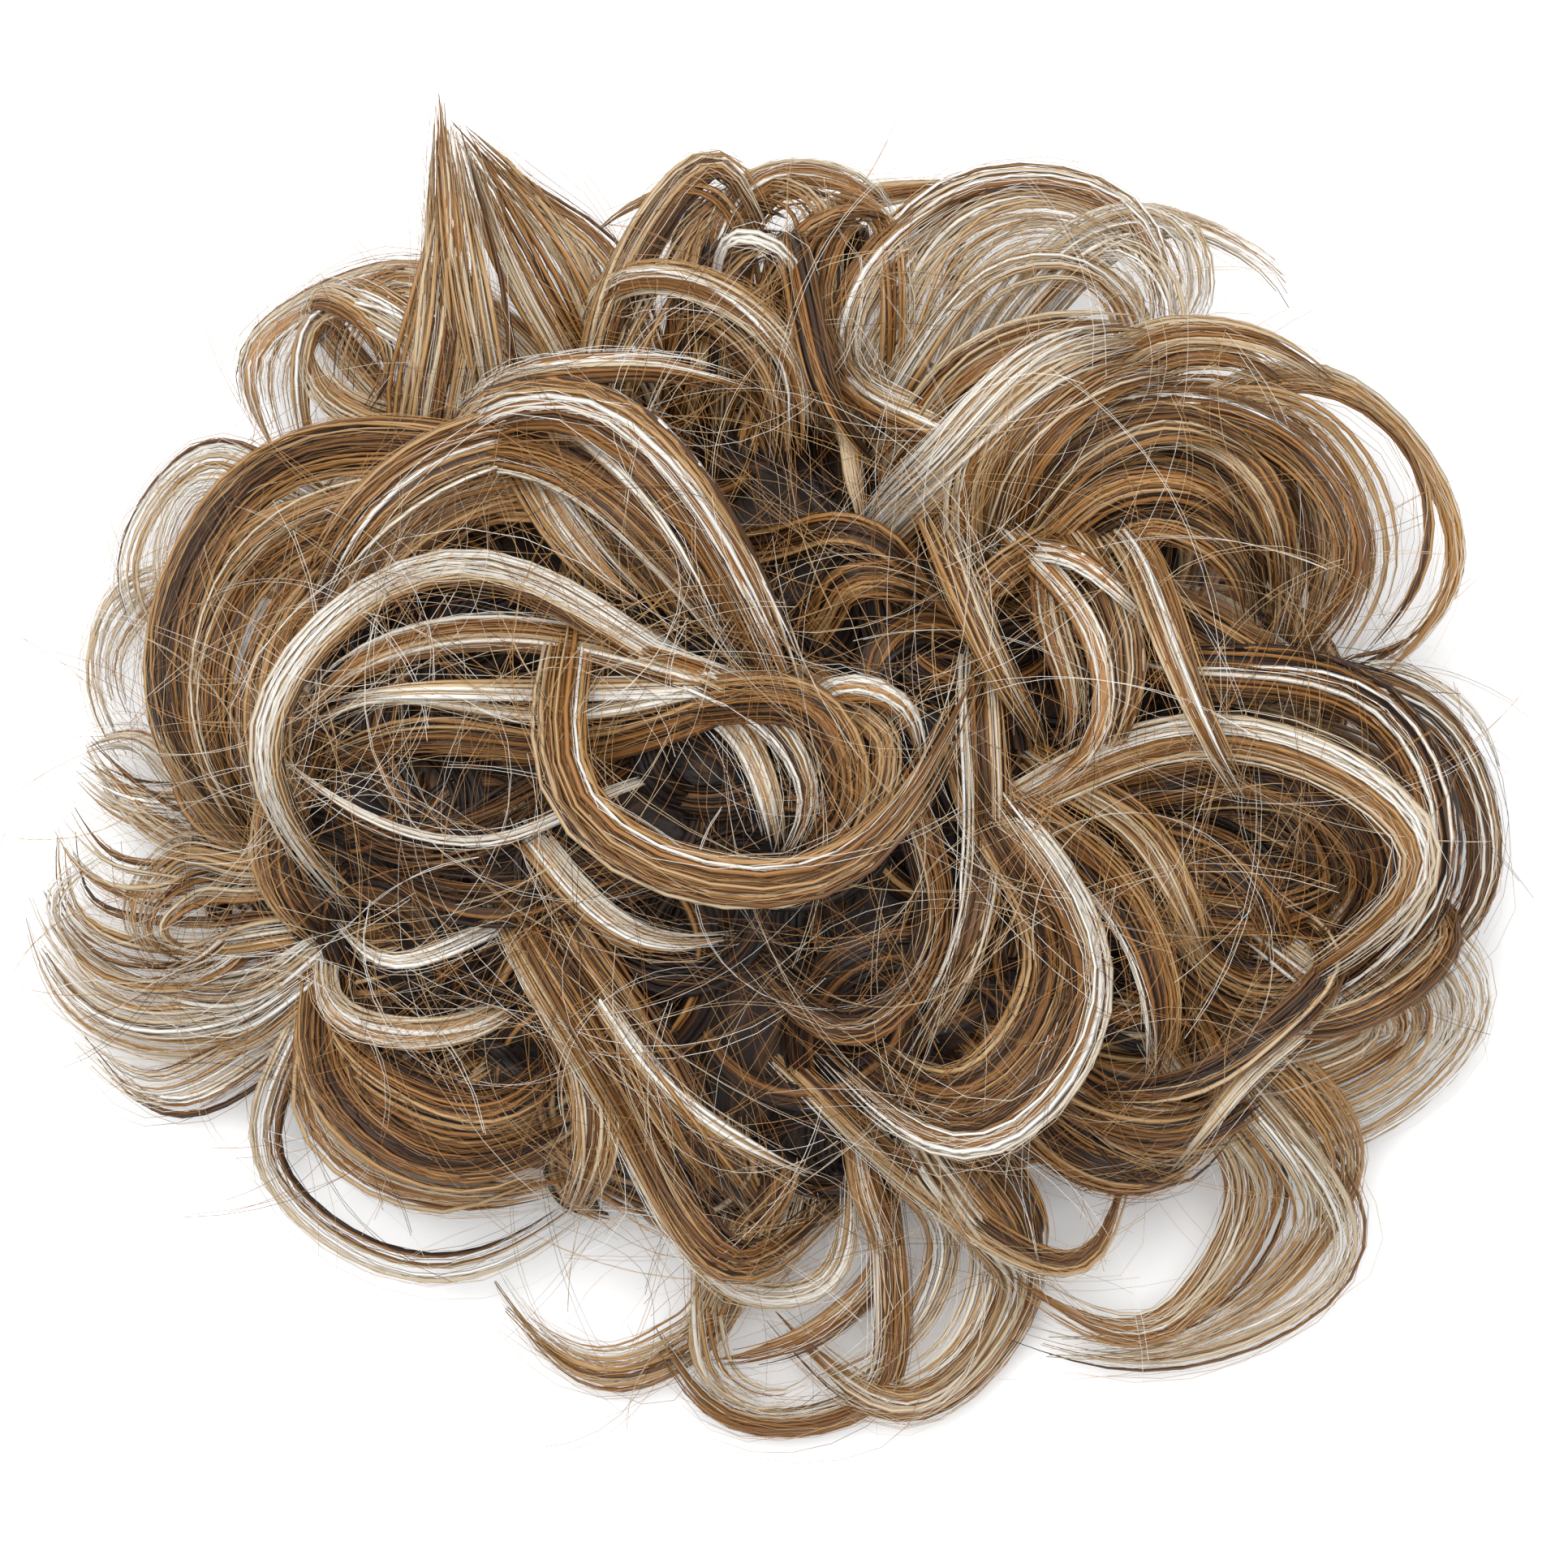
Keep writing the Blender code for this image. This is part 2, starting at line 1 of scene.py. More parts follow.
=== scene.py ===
"""Looks of the top knot hairpiece: curled locks of fine hair over a cushion of roots, on an elastic ring.

Every lock is drawn as a few smooth strands that carry fine fibre relief, and a bundle of single hairs
over them. All lengths in the tables are millimetres unless a name says pixels.
"""

from __future__ import annotations

import enum
import json
import logging
import math
from dataclasses import dataclass, field

import bpy
import numpy as np
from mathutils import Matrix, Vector

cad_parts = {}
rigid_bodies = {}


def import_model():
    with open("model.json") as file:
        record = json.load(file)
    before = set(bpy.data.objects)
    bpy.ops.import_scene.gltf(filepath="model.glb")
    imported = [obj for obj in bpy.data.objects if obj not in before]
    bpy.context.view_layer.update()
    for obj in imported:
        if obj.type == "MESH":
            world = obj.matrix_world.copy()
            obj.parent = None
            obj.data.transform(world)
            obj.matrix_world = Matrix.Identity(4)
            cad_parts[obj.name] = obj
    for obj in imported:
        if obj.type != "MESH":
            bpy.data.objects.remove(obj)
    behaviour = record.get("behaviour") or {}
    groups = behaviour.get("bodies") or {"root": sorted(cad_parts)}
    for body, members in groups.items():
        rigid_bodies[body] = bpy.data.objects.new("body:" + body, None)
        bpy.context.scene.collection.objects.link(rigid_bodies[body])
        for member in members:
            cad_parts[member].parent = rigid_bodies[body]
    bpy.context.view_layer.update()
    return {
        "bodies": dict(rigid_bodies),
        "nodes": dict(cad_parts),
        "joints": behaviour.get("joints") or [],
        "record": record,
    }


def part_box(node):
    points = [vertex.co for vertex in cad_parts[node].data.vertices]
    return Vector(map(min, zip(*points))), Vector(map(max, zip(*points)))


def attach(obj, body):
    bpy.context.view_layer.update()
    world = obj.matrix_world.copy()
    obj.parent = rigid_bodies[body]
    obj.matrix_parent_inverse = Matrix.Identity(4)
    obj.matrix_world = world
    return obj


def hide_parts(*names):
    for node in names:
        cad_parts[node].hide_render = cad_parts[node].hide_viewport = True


LOG = logging.getLogger("top_knot_hairpiece")
MM = 0.001
BODY = "root"
FRAME_PIVOT_Z = -60.0
FRAME_SPREAD = 0.6
LEAST_ACROSS = 0.35
LOCK_STRAY = 1.5
INNER_STRAY = 0.6
FIRST_SEED = 100


class Tone(enum.Enum):
    """Hair colours of the streaks, by the letter that the lock tables use and their place on the tone scale. D is no
    hair colour of its own: its near-black brown is painted shade for hollows, depths and the gaps between strand
    groups.
    """

    # D: painted shade, near-black brown for hollows, depths and gaps between strand groups.
    PAINTED_SHADE = ("D", 0.13)
    GOLD = ("G", 0.3)
    SAND = ("S", 0.54)
    PALE = ("P", 0.76)
    WHITE = ("W", 0.96)

    @classmethod
    def level(cls, letter: str) -> float:
        """Place on the tone scale, 0 to 1, of a streak letter."""
        return next(tone.value[1] for tone in cls if tone.value[0] == letter)


LOCK_COLUMNS = (
    "root_x", "root_y", "rise_x", "rise_y", "fall_x", "fall_y", "tip_x", "tip_y",
    "root_h", "crest_h", "tip_h", "width", "streaks", "density", "tip_share", "root_share",
)
USUAL_LOCK = {"density": 1.0, "tip_share": 0.6, "root_share": 0.7}

# One row for each lock of a lobe: four places read off the picture in pixels, heights over the floor
# and width in mm, the streaks across it from left to right as seen from its root, how dense it is,
# and the shares of its width at its tip and root. The last three are left out where they are usual.
LOBES = {
    "upper_left_curls": {
        "spike_left": (527, 520, 545, 410, 552, 280, 540, 112, 30, 34, 40, 6.5, "PSPGSP", 0.65, 0.2, 1.25),
        "spike_middle": (610, 500, 590, 400, 570, 280, 552, 140, 31, 36, 40, 5.5, "SPSPG", 0.65, 0.26, 1.1),
        "spike_right": (700, 440, 650, 350, 608, 262, 564, 150, 30, 33, 38, 4.5, "SPGSG", 0.65, 0.26, 1.1),
        "spike_wing": (790, 410, 742, 305, 664, 242, 568, 152, 29, 31, 37, 3.4, "PSG", 0.6, 0.4, 0.8),
        "spike_web": (730, 410, 700, 340, 640, 250, 548, 140, 29, 32, 38, 5.0, "SPGSP", 0.5, 0.25, 1.0),
        "spike_skirt": (740, 420, 712, 330, 662, 262, 579, 178, 29, 31, 36, 4.2, "PSPG", 0.69, 0.3, 0.8),
        "spike_tip": (560, 330, 552, 260, 546, 195, 536, 105, 35, 38, 41, 2.4, "SPS", 1.0, 0.5, 1.0),
        "spike_back": (500, 500, 522, 400, 540, 300, 534, 190, 26, 30, 33, 4.0, "SGS", 0.6, 0.25, 1.0),
        "left_top_outer": (532, 342, 395, 360, 305, 428, 338, 567, 27, 16, 15, 4.2, "PWWPG", 0.75),
        "left_top_inner": (430, 375, 378, 400, 366, 480, 388, 575, 25, 20, 17, 2.8, "GPWS", 0.75),
        "left_top_fold": (395, 362, 450, 392, 474, 440, 450, 500, 22, 27, 24, 3.2, "PSG"),
        "left_top_fill": (440, 365, 392, 382, 345, 432, 352, 535, 24, 17, 15, 4.4, "WPWS", 0.69),
        "left_top_band": (550, 525, 470, 515, 405, 485, 378, 425, 29, 23, 19, 4.0, "PPSP"),
        "left_top_veil": (545, 360, 470, 350, 425, 400, 415, 480, 27, 24, 20, 5.0, "SPSG", 0.5),
    },
    "left_curls": {
        "left_small_outer": (335, 586, 240, 561, 150, 691, 214, 830, 20, 12, 17, 3.4, "SPWG", 0.6, 0.7),
        "left_small_inner": (300, 605, 225, 605, 192, 690, 220, 770, 20, 14, 18, 2.8, "WWP", 0.6, 0.7),
        "left_far_fill": (250, 700, 175, 742, 132, 815, 158, 900, 16, 10, 9, 3.2, "PSWP", 0.5),
        "left_far_web": (340, 1040, 250, 1000, 160, 988, 88, 945, 18, 12, 9, 5.2, "SPWPG", 0.65, 0.5),
        "left_far_loop": (205, 705, 130, 750, 111, 840, 147, 930, 15, 9, 9, 3.0, "PWP", 0.62),
        "left_far_tip": (300, 1010, 220, 960, 165, 915, 100, 925, 18, 11, 8, 4.2, "WPPG", 0.65, 0.4),
        "left_far_low": (330, 1065, 240, 1040, 160, 992, 98, 912, 18, 12, 9, 4.6, "PSWG", 0.65, 0.4),
        "arch_outer": (560, 552, 330, 578, 203, 860, 345, 1075, 38, 30, 22, 6.0, "SGGDGSG", 1.0, 0.7),
        "arch_second": (710, 530, 600, 540, 450, 630, 385, 745, 46, 46, 38, 6.0, "GSWGGS", 1.0, 0.7),
        "arch_third": (430, 630, 300, 710, 248, 870, 320, 1040, 40, 32, 24, 5.4, "SGDGPS", 1.0, 0.7),
        "arch_blond": (360, 640, 235, 760, 222, 930, 320, 1060, 33, 26, 20, 4.5, "SPGS", 1.0, 0.7),
        "corner_outer": (400, 1160, 250, 1232, 62, 1110, 128, 1050, 24, 12, 14, 3.2, "WPGPW", 0.6, 0.5),
        "corner_middle": (395, 1210, 261, 1290, 92, 1254, 20, 1118, 24, 10, 8, 3.6, "WPSWG", 0.6, 0.2),
        "corner_fill": (340, 1150, 220, 1160, 95, 1120, 75, 1030, 22, 12, 10, 5.0, "GSWPG", 0.5),
        "corner_fill_low": (370, 1190, 250, 1220, 120, 1208, 38, 1098, 22, 11, 9, 5.2, "WPSPG", 0.58, 0.5),
        "corner_fill_side": (380, 1200, 260, 1260, 140, 1258, 40, 1168, 22, 11, 8, 4.2, "SPWPS", 0.58, 0.4),
        "corner_fill_foot": (395, 1215, 300, 1290, 190, 1342, 88, 1282, 23, 11, 7, 4.0, "PWSPG", 0.58, 0.5),
        "corner_web": (320, 1060, 230, 1090, 130, 1076, 72, 1000, 21, 13, 11, 5.2, "GPWPG", 0.6),
        "corner_eye": (290, 1090, 220, 1100, 185, 1145, 240, 1185, 20, 14, 12, 4.2, "SPGS", 0.6, 0.5),
        "corner_low": (398, 1210, 321, 1314, 216, 1367, 92, 1276, 24, 11, 7, 2.8, "DGW", 0.6, 0.3),
        "corner_white": (345, 1075, 325, 1125, 270, 1180, 195, 1208, 24, 17, 12, 4.2, "GWWPD", 0.5, 0.5),
        "corner_beige": (290, 1060, 200, 1062, 158, 1130, 195, 1195, 22, 13, 11, 4.0, "PSPP", 0.5, 0.5),
    },
    "left_bun_curls": {
        "arch_white": (790, 795, 560, 697, 330, 880, 440, 1132, 50, 46, 30, 3.8, "GPWWWW", 1.0, 0.5, 0.45),
        "arch_inner": (700, 600, 590, 612, 465, 690, 395, 800, 44, 43, 36, 5.0, "GSGPS"),
        "arch_pocket": (420, 700, 345, 790, 322, 920, 372, 1040, 37, 35, 29, 5.5, "SGSG"),
        "arch_pocket_low": (345, 980, 332, 1050, 352, 1110, 400, 1160, 31, 29, 27, 5.0, "GDGS"),
        "row_high": (860, 830, 600, 778, 430, 822, 357, 905, 50, 45, 36, 3.4, "GWPGW", 0.75, 0.5, 0.35),
        "row_middle": (865, 845, 700, 850, 500, 850, 402, 862, 50, 48, 40, 2.2, "WWP", 0.75, 0.4, 0.35),
        "row_second": (862, 850, 670, 881, 470, 860, 357, 908, 50, 46, 38, 1.5, "WP", 0.75, 0.4, 0.4),
        "row_low": (865, 875, 700, 918, 530, 905, 384, 946, 49, 42, 34, 4.2, "GDGSG", 1.0, 0.4, 0.4),
        "hollow_white": (740, 1085, 600, 1148, 470, 1185, 412, 1138, 40, 36, 32, 1.9, "WWP", 1.0, 0.5),
        # hollow_tangle and hollow_tangle_low are nearly all D streaks: dark locks that paint the shade in the hollow.
        "hollow_tangle": (705, 960, 620, 1010, 500, 1040, 400, 1000, 44, 41, 35, 5.4, "DDDDGD", 0.6, 0.5, 0.6),
        "hollow_tangle_low": (745, 1085, 650, 1105, 540, 1100, 450, 1050, 42, 40, 35, 5.0, "DDDGD", 0.6, 0.5, 0.6),
        "hollow_thread": (720, 990, 600, 1036, 440, 1003, 330, 926, 46, 43, 38, 1.2, "WW", 0.6, 0.4, 0.5),
        "crown_pale": (660, 590, 690, 640, 730, 690, 790, 745, 46, 48, 49, 4.2, "PWPS", 1.0, 0.6, 0.4),
        "crown_gold": (600, 610, 700, 620, 790, 700, 850, 790, 42, 45, 45, 4.5, "SGSGS"),
        "diagonal": (590, 515, 740, 505, 900, 685, 985, 865, 44, 56, 50, 5.0, "GSWWPG", 1.0, 0.7),
        "diagonal_under": (590, 550, 700, 575, 840, 700, 950, 845, 44, 52, 47, 4.6, "DGSGW", 1.0, 0.7),
        "diagonal_thread": (730, 548, 790, 606, 850, 695, 892, 785, 53, 58, 54, 0.9, "W", 0.6, 0.4, 0.5),
    },
    "lower_left_curls": {
        "low_white": (397, 1212, 460, 1272, 580, 1268, 660, 1215, 26, 34, 30, 3.0, "PWWS"),
        "low_inner_gold": (405, 1235, 470, 1330, 600, 1370, 700, 1300, 25, 33, 30, 5.2, "DGGSG", 1.0, 0.7),
        "low_gold": (398, 1225, 410, 1340, 570, 1437, 705, 1385, 24, 30, 28, 6.2, "SGGDGGS", 1.0, 0.7),
        "low_tan": (385, 1230, 388, 1378, 552, 1474, 705, 1456, 22, 22, 24, 4.2, "PSPWSG", 0.75),
        "low_outer": (380, 1240, 328, 1434, 497, 1564, 765, 1446, 20, 12, 20, 3.8, "DGPWP", 0.6),
        "low_fall": (650, 1180, 715, 1290, 735, 1400, 700, 1500, 34, 34, 26, 5.0, "SPGPS", 1.0, 0.5),
        "hook_gold": (660, 1180, 790, 1400, 900, 1562, 1035, 1480, 40, 34, 26, 5.6, "DGSGGSP"),
        "hook_outer": (850, 1530, 900, 1590, 1010, 1590, 1046, 1450, 24, 22, 24, 2.8, "PWWP"),
        "hook_inner": (700, 1150, 790, 1290, 850, 1400, 930, 1500, 40, 38, 30, 5.0, "GSDGS", 1.0, 0.5),
        "hook_white": (740, 1240, 800, 1325, 890, 1400, 998, 1455, 40, 39, 33, 2.2, "WWPS", 1.0, 0.4),
    },
    "bottom_curls": {
        "tuft_lower": (900, 1560, 862, 1652, 760, 1704, 606, 1585, 18, 8, 5, 3.8, "GSGSP", 0.62, 0.2),
        "tuft_fill": (890, 1598, 838, 1656, 752, 1686, 622, 1616, 17, 9, 6, 5.0, "SGSPS", 0.69, 0.3),
        "rings_outer": (1100, 1635, 1060, 1734, 900, 1750, 806, 1644, 17, 8, 10, 4.0, "GSGPW", 0.75, 0.5),
        "rings_big": (1190, 1490, 1251, 1606, 1137, 1733, 955, 1623, 24, 9, 12, 5.5, "GSPPWPSP", 0.75, 0.5),
        "rings_inner": (1070, 1470, 1085, 1570, 1000, 1650, 872, 1684, 25, 16, 11, 3.2, "GPWS", 0.75, 0.5),
        "rings_left": (930, 1590, 868, 1630, 872, 1690, 930, 1735, 18, 12, 10, 3.0, "PSWP", 0.5),
        "rings_fill": (1110, 1430, 1160, 1556, 1116, 1650, 1010, 1712, 26, 14, 10, 4.5, "PSPWSP", 0.6, 0.5),
        "rings_second": (1150, 1450, 1210, 1566, 1175, 1660, 1080, 1718, 26, 14, 9, 4.0, "PSWP", 0.5, 0.5),
        "rings_low": (870, 1655, 900, 1714, 960, 1733, 1020, 1694, 14, 10, 10, 3.6, "PSPWS", 0.5, 0.5),
        "rings_slope": (1000, 1340, 1160, 1483, 1330, 1562, 1398, 1410, 34, 24, 20, 3.0, "SGSP", 0.75),
        "slope_shade": (1240, 1330, 1320, 1420, 1420, 1446, 1520, 1370, 30, 25, 26, 5.5, "DGDSG"),
        "slope_fill": (1290, 1320, 1370, 1372, 1450, 1384, 1550, 1336, 32, 29, 28, 5.5, "DGSDG"),
        "slope_fill_low": (1340, 1350, 1410, 1402, 1480, 1404, 1560, 1366, 30, 27, 26, 4.5, "GDGS"),
        "slope_fall": (1500, 1340, 1465, 1395, 1410, 1440, 1335, 1462, 30, 25, 20, 4.5, "DGSDG", 0.75),
        "slope_left": (1200, 1400, 1240, 1450, 1270, 1500, 1275, 1560, 29, 23, 18, 4.5, "SGDGS", 0.75),
        "foot_inner": (1490, 1370, 1530, 1500, 1430, 1640, 1248, 1578, 26, 14, 16, 4.2, "SGPWP", 0.75, 0.5),
        "foot_outer": (1596, 1396, 1656, 1566, 1424, 1678, 1248, 1646, 22, 9, 10, 4.2, "GSPWP", 0.6, 0.5),
        "foot_middle": (1560, 1385, 1606, 1534, 1460, 1645, 1290, 1664, 24, 11, 10, 5.0, "PSPWPS", 0.62, 0.5),
        "foot_low": (1520, 1380, 1566, 1500, 1480, 1618, 1370, 1662, 25, 13, 10, 4.0, "GSP", 0.55, 0.5),
        "foot_fill": (1655, 1400, 1640, 1500, 1580, 1582, 1480, 1645, 22, 12, 9, 4.4, "SGS", 0.6, 0.5),
    },
    "lower_right_curls": {
        "side_pale": (1780, 1160, 1808, 1285, 1660, 1402, 1480, 1380, 26, 12, 24, 4.3, "PWSWP", 0.55, 0.5),
        "side_inner": (1752, 1190, 1766, 1284, 1650, 1362, 1500, 1345, 26, 16, 26, 4.8, "PSPWG", 0.6, 0.5),
        "side_fill": (1700, 1210, 1728, 1280, 1640, 1338, 1520, 1332, 28, 20, 26, 5.4, "PSGSP", 0.69),
        "side_fill_top": (1660, 1220, 1684, 1268, 1610, 1306, 1500, 1316, 30, 24, 28, 4.4, "SPWG", 0.75),
        "side_brown": (1640, 1210, 1580, 1270, 1480, 1333, 1360, 1348, 36, 36, 34, 3.4, "GSDG", 1.0, 0.5),
        "side_top": (1790, 1165, 1720, 1235, 1620, 1268, 1520, 1252, 30, 34, 36, 3.5, "GDSGP", 1.0, 0.5),
        "side_white": (1640, 1240, 1560, 1315, 1500, 1385, 1448, 1447, 34, 34, 28, 2.0, "WP", 1.0, 0.4),
        "great_white": (1236, 1000, 1345, 1220, 1210, 1405, 1010, 1290, 46, 44, 38, 4.4, "WWPGD", 1.0, 0.5, 0.4),
        "great_inner": (1225, 1010, 1300, 1190, 1190, 1345, 1060, 1290, 46, 43, 36, 5.5, "SGSGDGS", 1.0, 0.6, 0.4),
        "great_outer": (1262, 1005, 1375, 1100, 1432, 1220, 1430, 1335, 46, 42, 34, 5.0, "SGGDGW", 1.0, 0.5, 0.4),
        "great_blond": (1345, 975, 1415, 1025, 1465, 1110, 1490, 1180, 44, 42, 34, 3.6, "GSPS", 1.0, 0.5, 0.5),
    },
    "right_bun_curls": {
        "right_ring": (1236, 997, 1500, 905, 1755, 1050, 1580, 1228, 44, 44, 34, 4.5, "PWSGP", 1.0, 0.6, 0.35),
        "right_middle": (1480, 825, 1700, 875, 1772, 1080, 1600, 1258, 42, 38, 30, 5.2, "DGWGGD"),
        "right_outer": (1670, 842, 1803, 924, 1832, 1100, 1712, 1226, 36, 24, 24, 5.0, "DGPWGG", 0.75, 0.5),
        "right_core": (1400, 960, 1560, 940, 1700, 1060, 1620, 1190, 38, 38, 30, 5.6, "GDGDG"),
        "right_eye": (1440, 1000, 1560, 985, 1640, 1080, 1590, 1170, 30, 32, 26, 4.0, "DGD", 1.0, 0.5),
        "right_nest": (1390, 1010, 1500, 1000, 1630, 1030, 1690, 1120, 33, 31, 26, 6.5, "DGDSGD"),
        "right_nest_low": (1450, 1150, 1530, 1215, 1640, 1200, 1700, 1110, 31, 29, 26, 6.5, "GDGSDG"),
        "right_nest_mid": (1390, 1070, 1480, 1095, 1590, 1100, 1680, 1050, 34, 33, 28, 7.0, "GDGSDG"),
        "right_nest_fold": (1430, 1030, 1510, 1050, 1570, 1110, 1590, 1190, 35, 34, 29, 5.5, "DGDSG"),
        "right_nest_arc": (1480, 955, 1590, 950, 1700, 1000, 1740, 1100, 31, 29, 24, 5.5, "GDGDS"),
        "right_nest_side": (1580, 900, 1690, 940, 1760, 1030, 1770, 1130, 30, 26, 22, 4.5, "GSGD", 0.75),
        "right_wisp": (1660, 835, 1740, 822, 1810, 862, 1856, 948, 34, 26, 20, 1.4, "WP", 0.5, 0.3),
        "knot_left": (1270, 680, 1210, 735, 1250, 840, 1290, 915, 46, 48, 44, 3.0, "SGS", 0.75, 0.4),
        "knot_grey": (1278, 685, 1350, 780, 1355, 910, 1245, 990, 46, 50, 46, 2.8, "PWG", 0.75),
        "knot_gold": (1285, 676, 1335, 688, 1385, 728, 1430, 775, 46, 50, 46, 2.4, "GW", 1.0, 0.5),
        "knot_middle": (1292, 690, 1300, 770, 1325, 850, 1310, 950, 45, 48, 44, 3.0, "PG", 0.75, 0.5),
        "knot_bright": (1405, 680, 1445, 780, 1487, 885, 1540, 985, 46, 52, 46, 3.8, "SGWGP", 1.0, 0.3, 0.5),
        "knot_tan": (1350, 690, 1390, 780, 1390, 870, 1350, 965, 46, 48, 42, 3.2, "GSPG", 0.75, 0.5),
    },
    "upper_right_curls": {
        "upper_outer": (1423, 530, 1664, 470, 1804, 680, 1695, 846, 40, 24, 30, 2.6, "PWS", 0.75),
        "upper_top_fill": (1380, 470, 1450, 430, 1520, 430, 1590, 470, 38, 35, 30, 4.5, "PSGP", 0.7),
        "upper_fill": (1560, 500, 1655, 560, 1700, 690, 1645, 812, 34, 27, 28, 5.0, "SPSGP", 0.69),
        "upper_fill_inner": (1500, 500, 1600, 560, 1640, 660, 1605, 790, 36, 30, 28, 6.0, "GSPSG", 0.7),
        "upper_tail": (1640, 842, 1690, 820, 1740, 790, 1785, 740, 28, 24, 22, 3.0, "GDPS", 0.6, 0.4),
        "upper_brown": (1650, 480, 1748, 560, 1764, 690, 1690, 805, 30, 27, 30, 1.3, "SG"),
        "upper_middle": (1420, 500, 1590, 540, 1675, 680, 1590, 825, 42, 36, 32, 4.2, "GWGGS"),
        "upper_tan": (1390, 530, 1480, 532, 1565, 600, 1590, 740, 42, 40, 34, 4.0, "SGSPG"),
        "upper_top": (1360, 450, 1430, 408, 1540, 410, 1650, 470, 40, 36, 28, 3.2, "PSGP"),
        "upper_white": (1110, 628, 1185, 550, 1280, 455, 1400, 412, 40, 50, 42, 5.6, "WWWPWS"),
        "upper_gold": (1195, 700, 1203, 570, 1275, 470, 1410, 425, 40, 50, 42, 4.2, "PGGSG"),
        "upper_blond": (1232, 640, 1270, 550, 1340, 485, 1450, 455, 42, 50, 40, 4.0, "SPGS"),
        "upper_core": (1262, 650, 1330, 560, 1440, 515, 1560, 560, 42, 46, 40, 4.0, "SDGPS"),
        "upper_eye": (1290, 665, 1370, 600, 1460, 590, 1540, 650, 42, 45, 38, 4.0, "GSG", 1.0, 0.5),
        "upper_eye_low": (1330, 690, 1420, 640, 1500, 670, 1540, 760, 40, 43, 34, 4.0, "DSG", 1.0, 0.5),
        "upper_eye_fill": (1330, 640, 1430, 590, 1530, 640, 1560, 760, 38, 36, 30, 7.0, "GSDGS"),
        "upper_eye_web": (1400, 560, 1500, 580, 1580, 680, 1575, 800, 36, 31, 28, 6.0, "SGPSG"),
        "upper_fill_mid": (1530, 560, 1612, 620, 1636, 720, 1608, 812, 33, 28, 28, 6.0, "SPSGPS", 0.75),
        "upper_foot": (1390, 720, 1470, 760, 1540, 800, 1625, 835, 36, 34, 31, 5.5, "GSGDS"),
        "upper_foot_low": (1340, 765, 1420, 800, 1500, 832, 1590, 848, 38, 36, 33, 5.0, "SGDGS"),
        "crown_left": (1140, 515, 1040, 450, 1060, 340, 1180, 235, 40, 34, 30, 3.6, "GSWP", 1.0, 0.7),
        "crown_arch": (1045, 382, 1190, 233, 1387, 255, 1442, 402, 32, 28, 34, 4.4, "SWWGGP", 0.75, 0.7),
        "crown_second": (1100, 400, 1200, 280, 1340, 270, 1430, 380, 32, 30, 34, 3.5, "SPW", 0.5),
        "crown_inner": (1150, 425, 1230, 340, 1340, 328, 1420, 405, 34, 33, 36, 3.8, "PPWSP", 0.6, 0.7),
        "crown_third": (1120, 390, 1180, 290, 1280, 250, 1390, 290, 32, 30, 32, 5.0, "PWPSP", 0.6),
        "crown_web": (1170, 400, 1200, 335, 1265, 292, 1350, 285, 32, 31, 32, 4.2, "PSPWP", 0.6),
        "crown_web_right": (1400, 400, 1380, 360, 1340, 330, 1280, 330, 33, 32, 31, 4.0, "SGSP", 0.69),
        "crown_fill": (1440, 410, 1430, 340, 1380, 300, 1300, 330, 33, 31, 30, 5.0, "PWPSP", 0.6),
        "crown_side_inner": (1400, 270, 1450, 290, 1470, 340, 1440, 400, 28, 24, 28, 4.5, "WPWS", 0.6),
        "crown_side": (1416, 262, 1472, 284, 1487, 345, 1449, 405, 24, 20, 28, 3.2, "PWP", 0.6),
        "crown_wisp": (1440, 262, 1500, 280, 1562, 312, 1610, 368, 22, 17, 12, 2.4, "PSW", 0.6, 0.5),
        "crown_wisp_up": (1446, 276, 1508, 290, 1560, 324, 1598, 380, 20, 16, 12, 2.8, "PWP", 0.6, 0.4),
        "crown_strip": (1180, 270, 1178, 320, 1168, 370, 1155, 415, 28, 28, 32, 1.8, "GD"),
        "crown_low": (1130, 520, 1190, 450, 1290, 405, 1420, 400, 38, 42, 40, 4.0, "PGPSG"),
    },
    "top_curls": {
        "top_white": (600, 480, 700, 448, 820, 447, 925, 475, 38, 46, 44, 3.2, "WWPGD"),
        "top_blond": (750, 352, 890, 358, 980, 450, 988, 552, 34, 42, 40, 3.6, "SPWGP"),
        "top_loop": (885, 330, 915, 284, 960, 300, 982, 395, 36, 42, 38, 1.6, "WW", 0.6),
        "top_arch": (745, 395, 801, 274, 880, 198, 944, 288, 34, 34, 36, 4.2, "SPSGD"),
        "top_veil": (760, 420, 810, 330, 850, 270, 905, 230, 33, 34, 34, 5.0, "SGPS", 0.6),
        "top_nest": (850, 330, 862, 280, 905, 245, 970, 262, 34, 33, 32, 4.6, "DGSDG"),
        "top_nest_edge": (905, 300, 925, 250, 970, 225, 1040, 245, 33, 31, 30, 4.0, "GSPG", 0.75),
        "top_nest_low": (860, 400, 880, 340, 920, 300, 985, 300, 35, 35, 33, 4.6, "GDGSD"),
        "top_wing": (830, 228, 800, 238, 770, 252, 738, 275, 34, 33, 30, 1.8, "GS", 0.6, 0.3),
        "top_bend": (975, 290, 998, 390, 1030, 500, 1090, 575, 36, 44, 40, 3.2, "GDGS"),
        "top_edge": (935, 219, 1000, 208, 1067, 231, 1098, 288, 32, 28, 30, 3.6, "PWSG", 0.7),
        "top_edge_fill": (1010, 300, 1000, 250, 960, 225, 905, 240, 33, 32, 30, 4.0, "SGSP", 0.6),
        "top_edge_web": (1100, 300, 1085, 262, 1040, 240, 985, 232, 33, 31, 29, 3.6, "SGSP", 0.69),
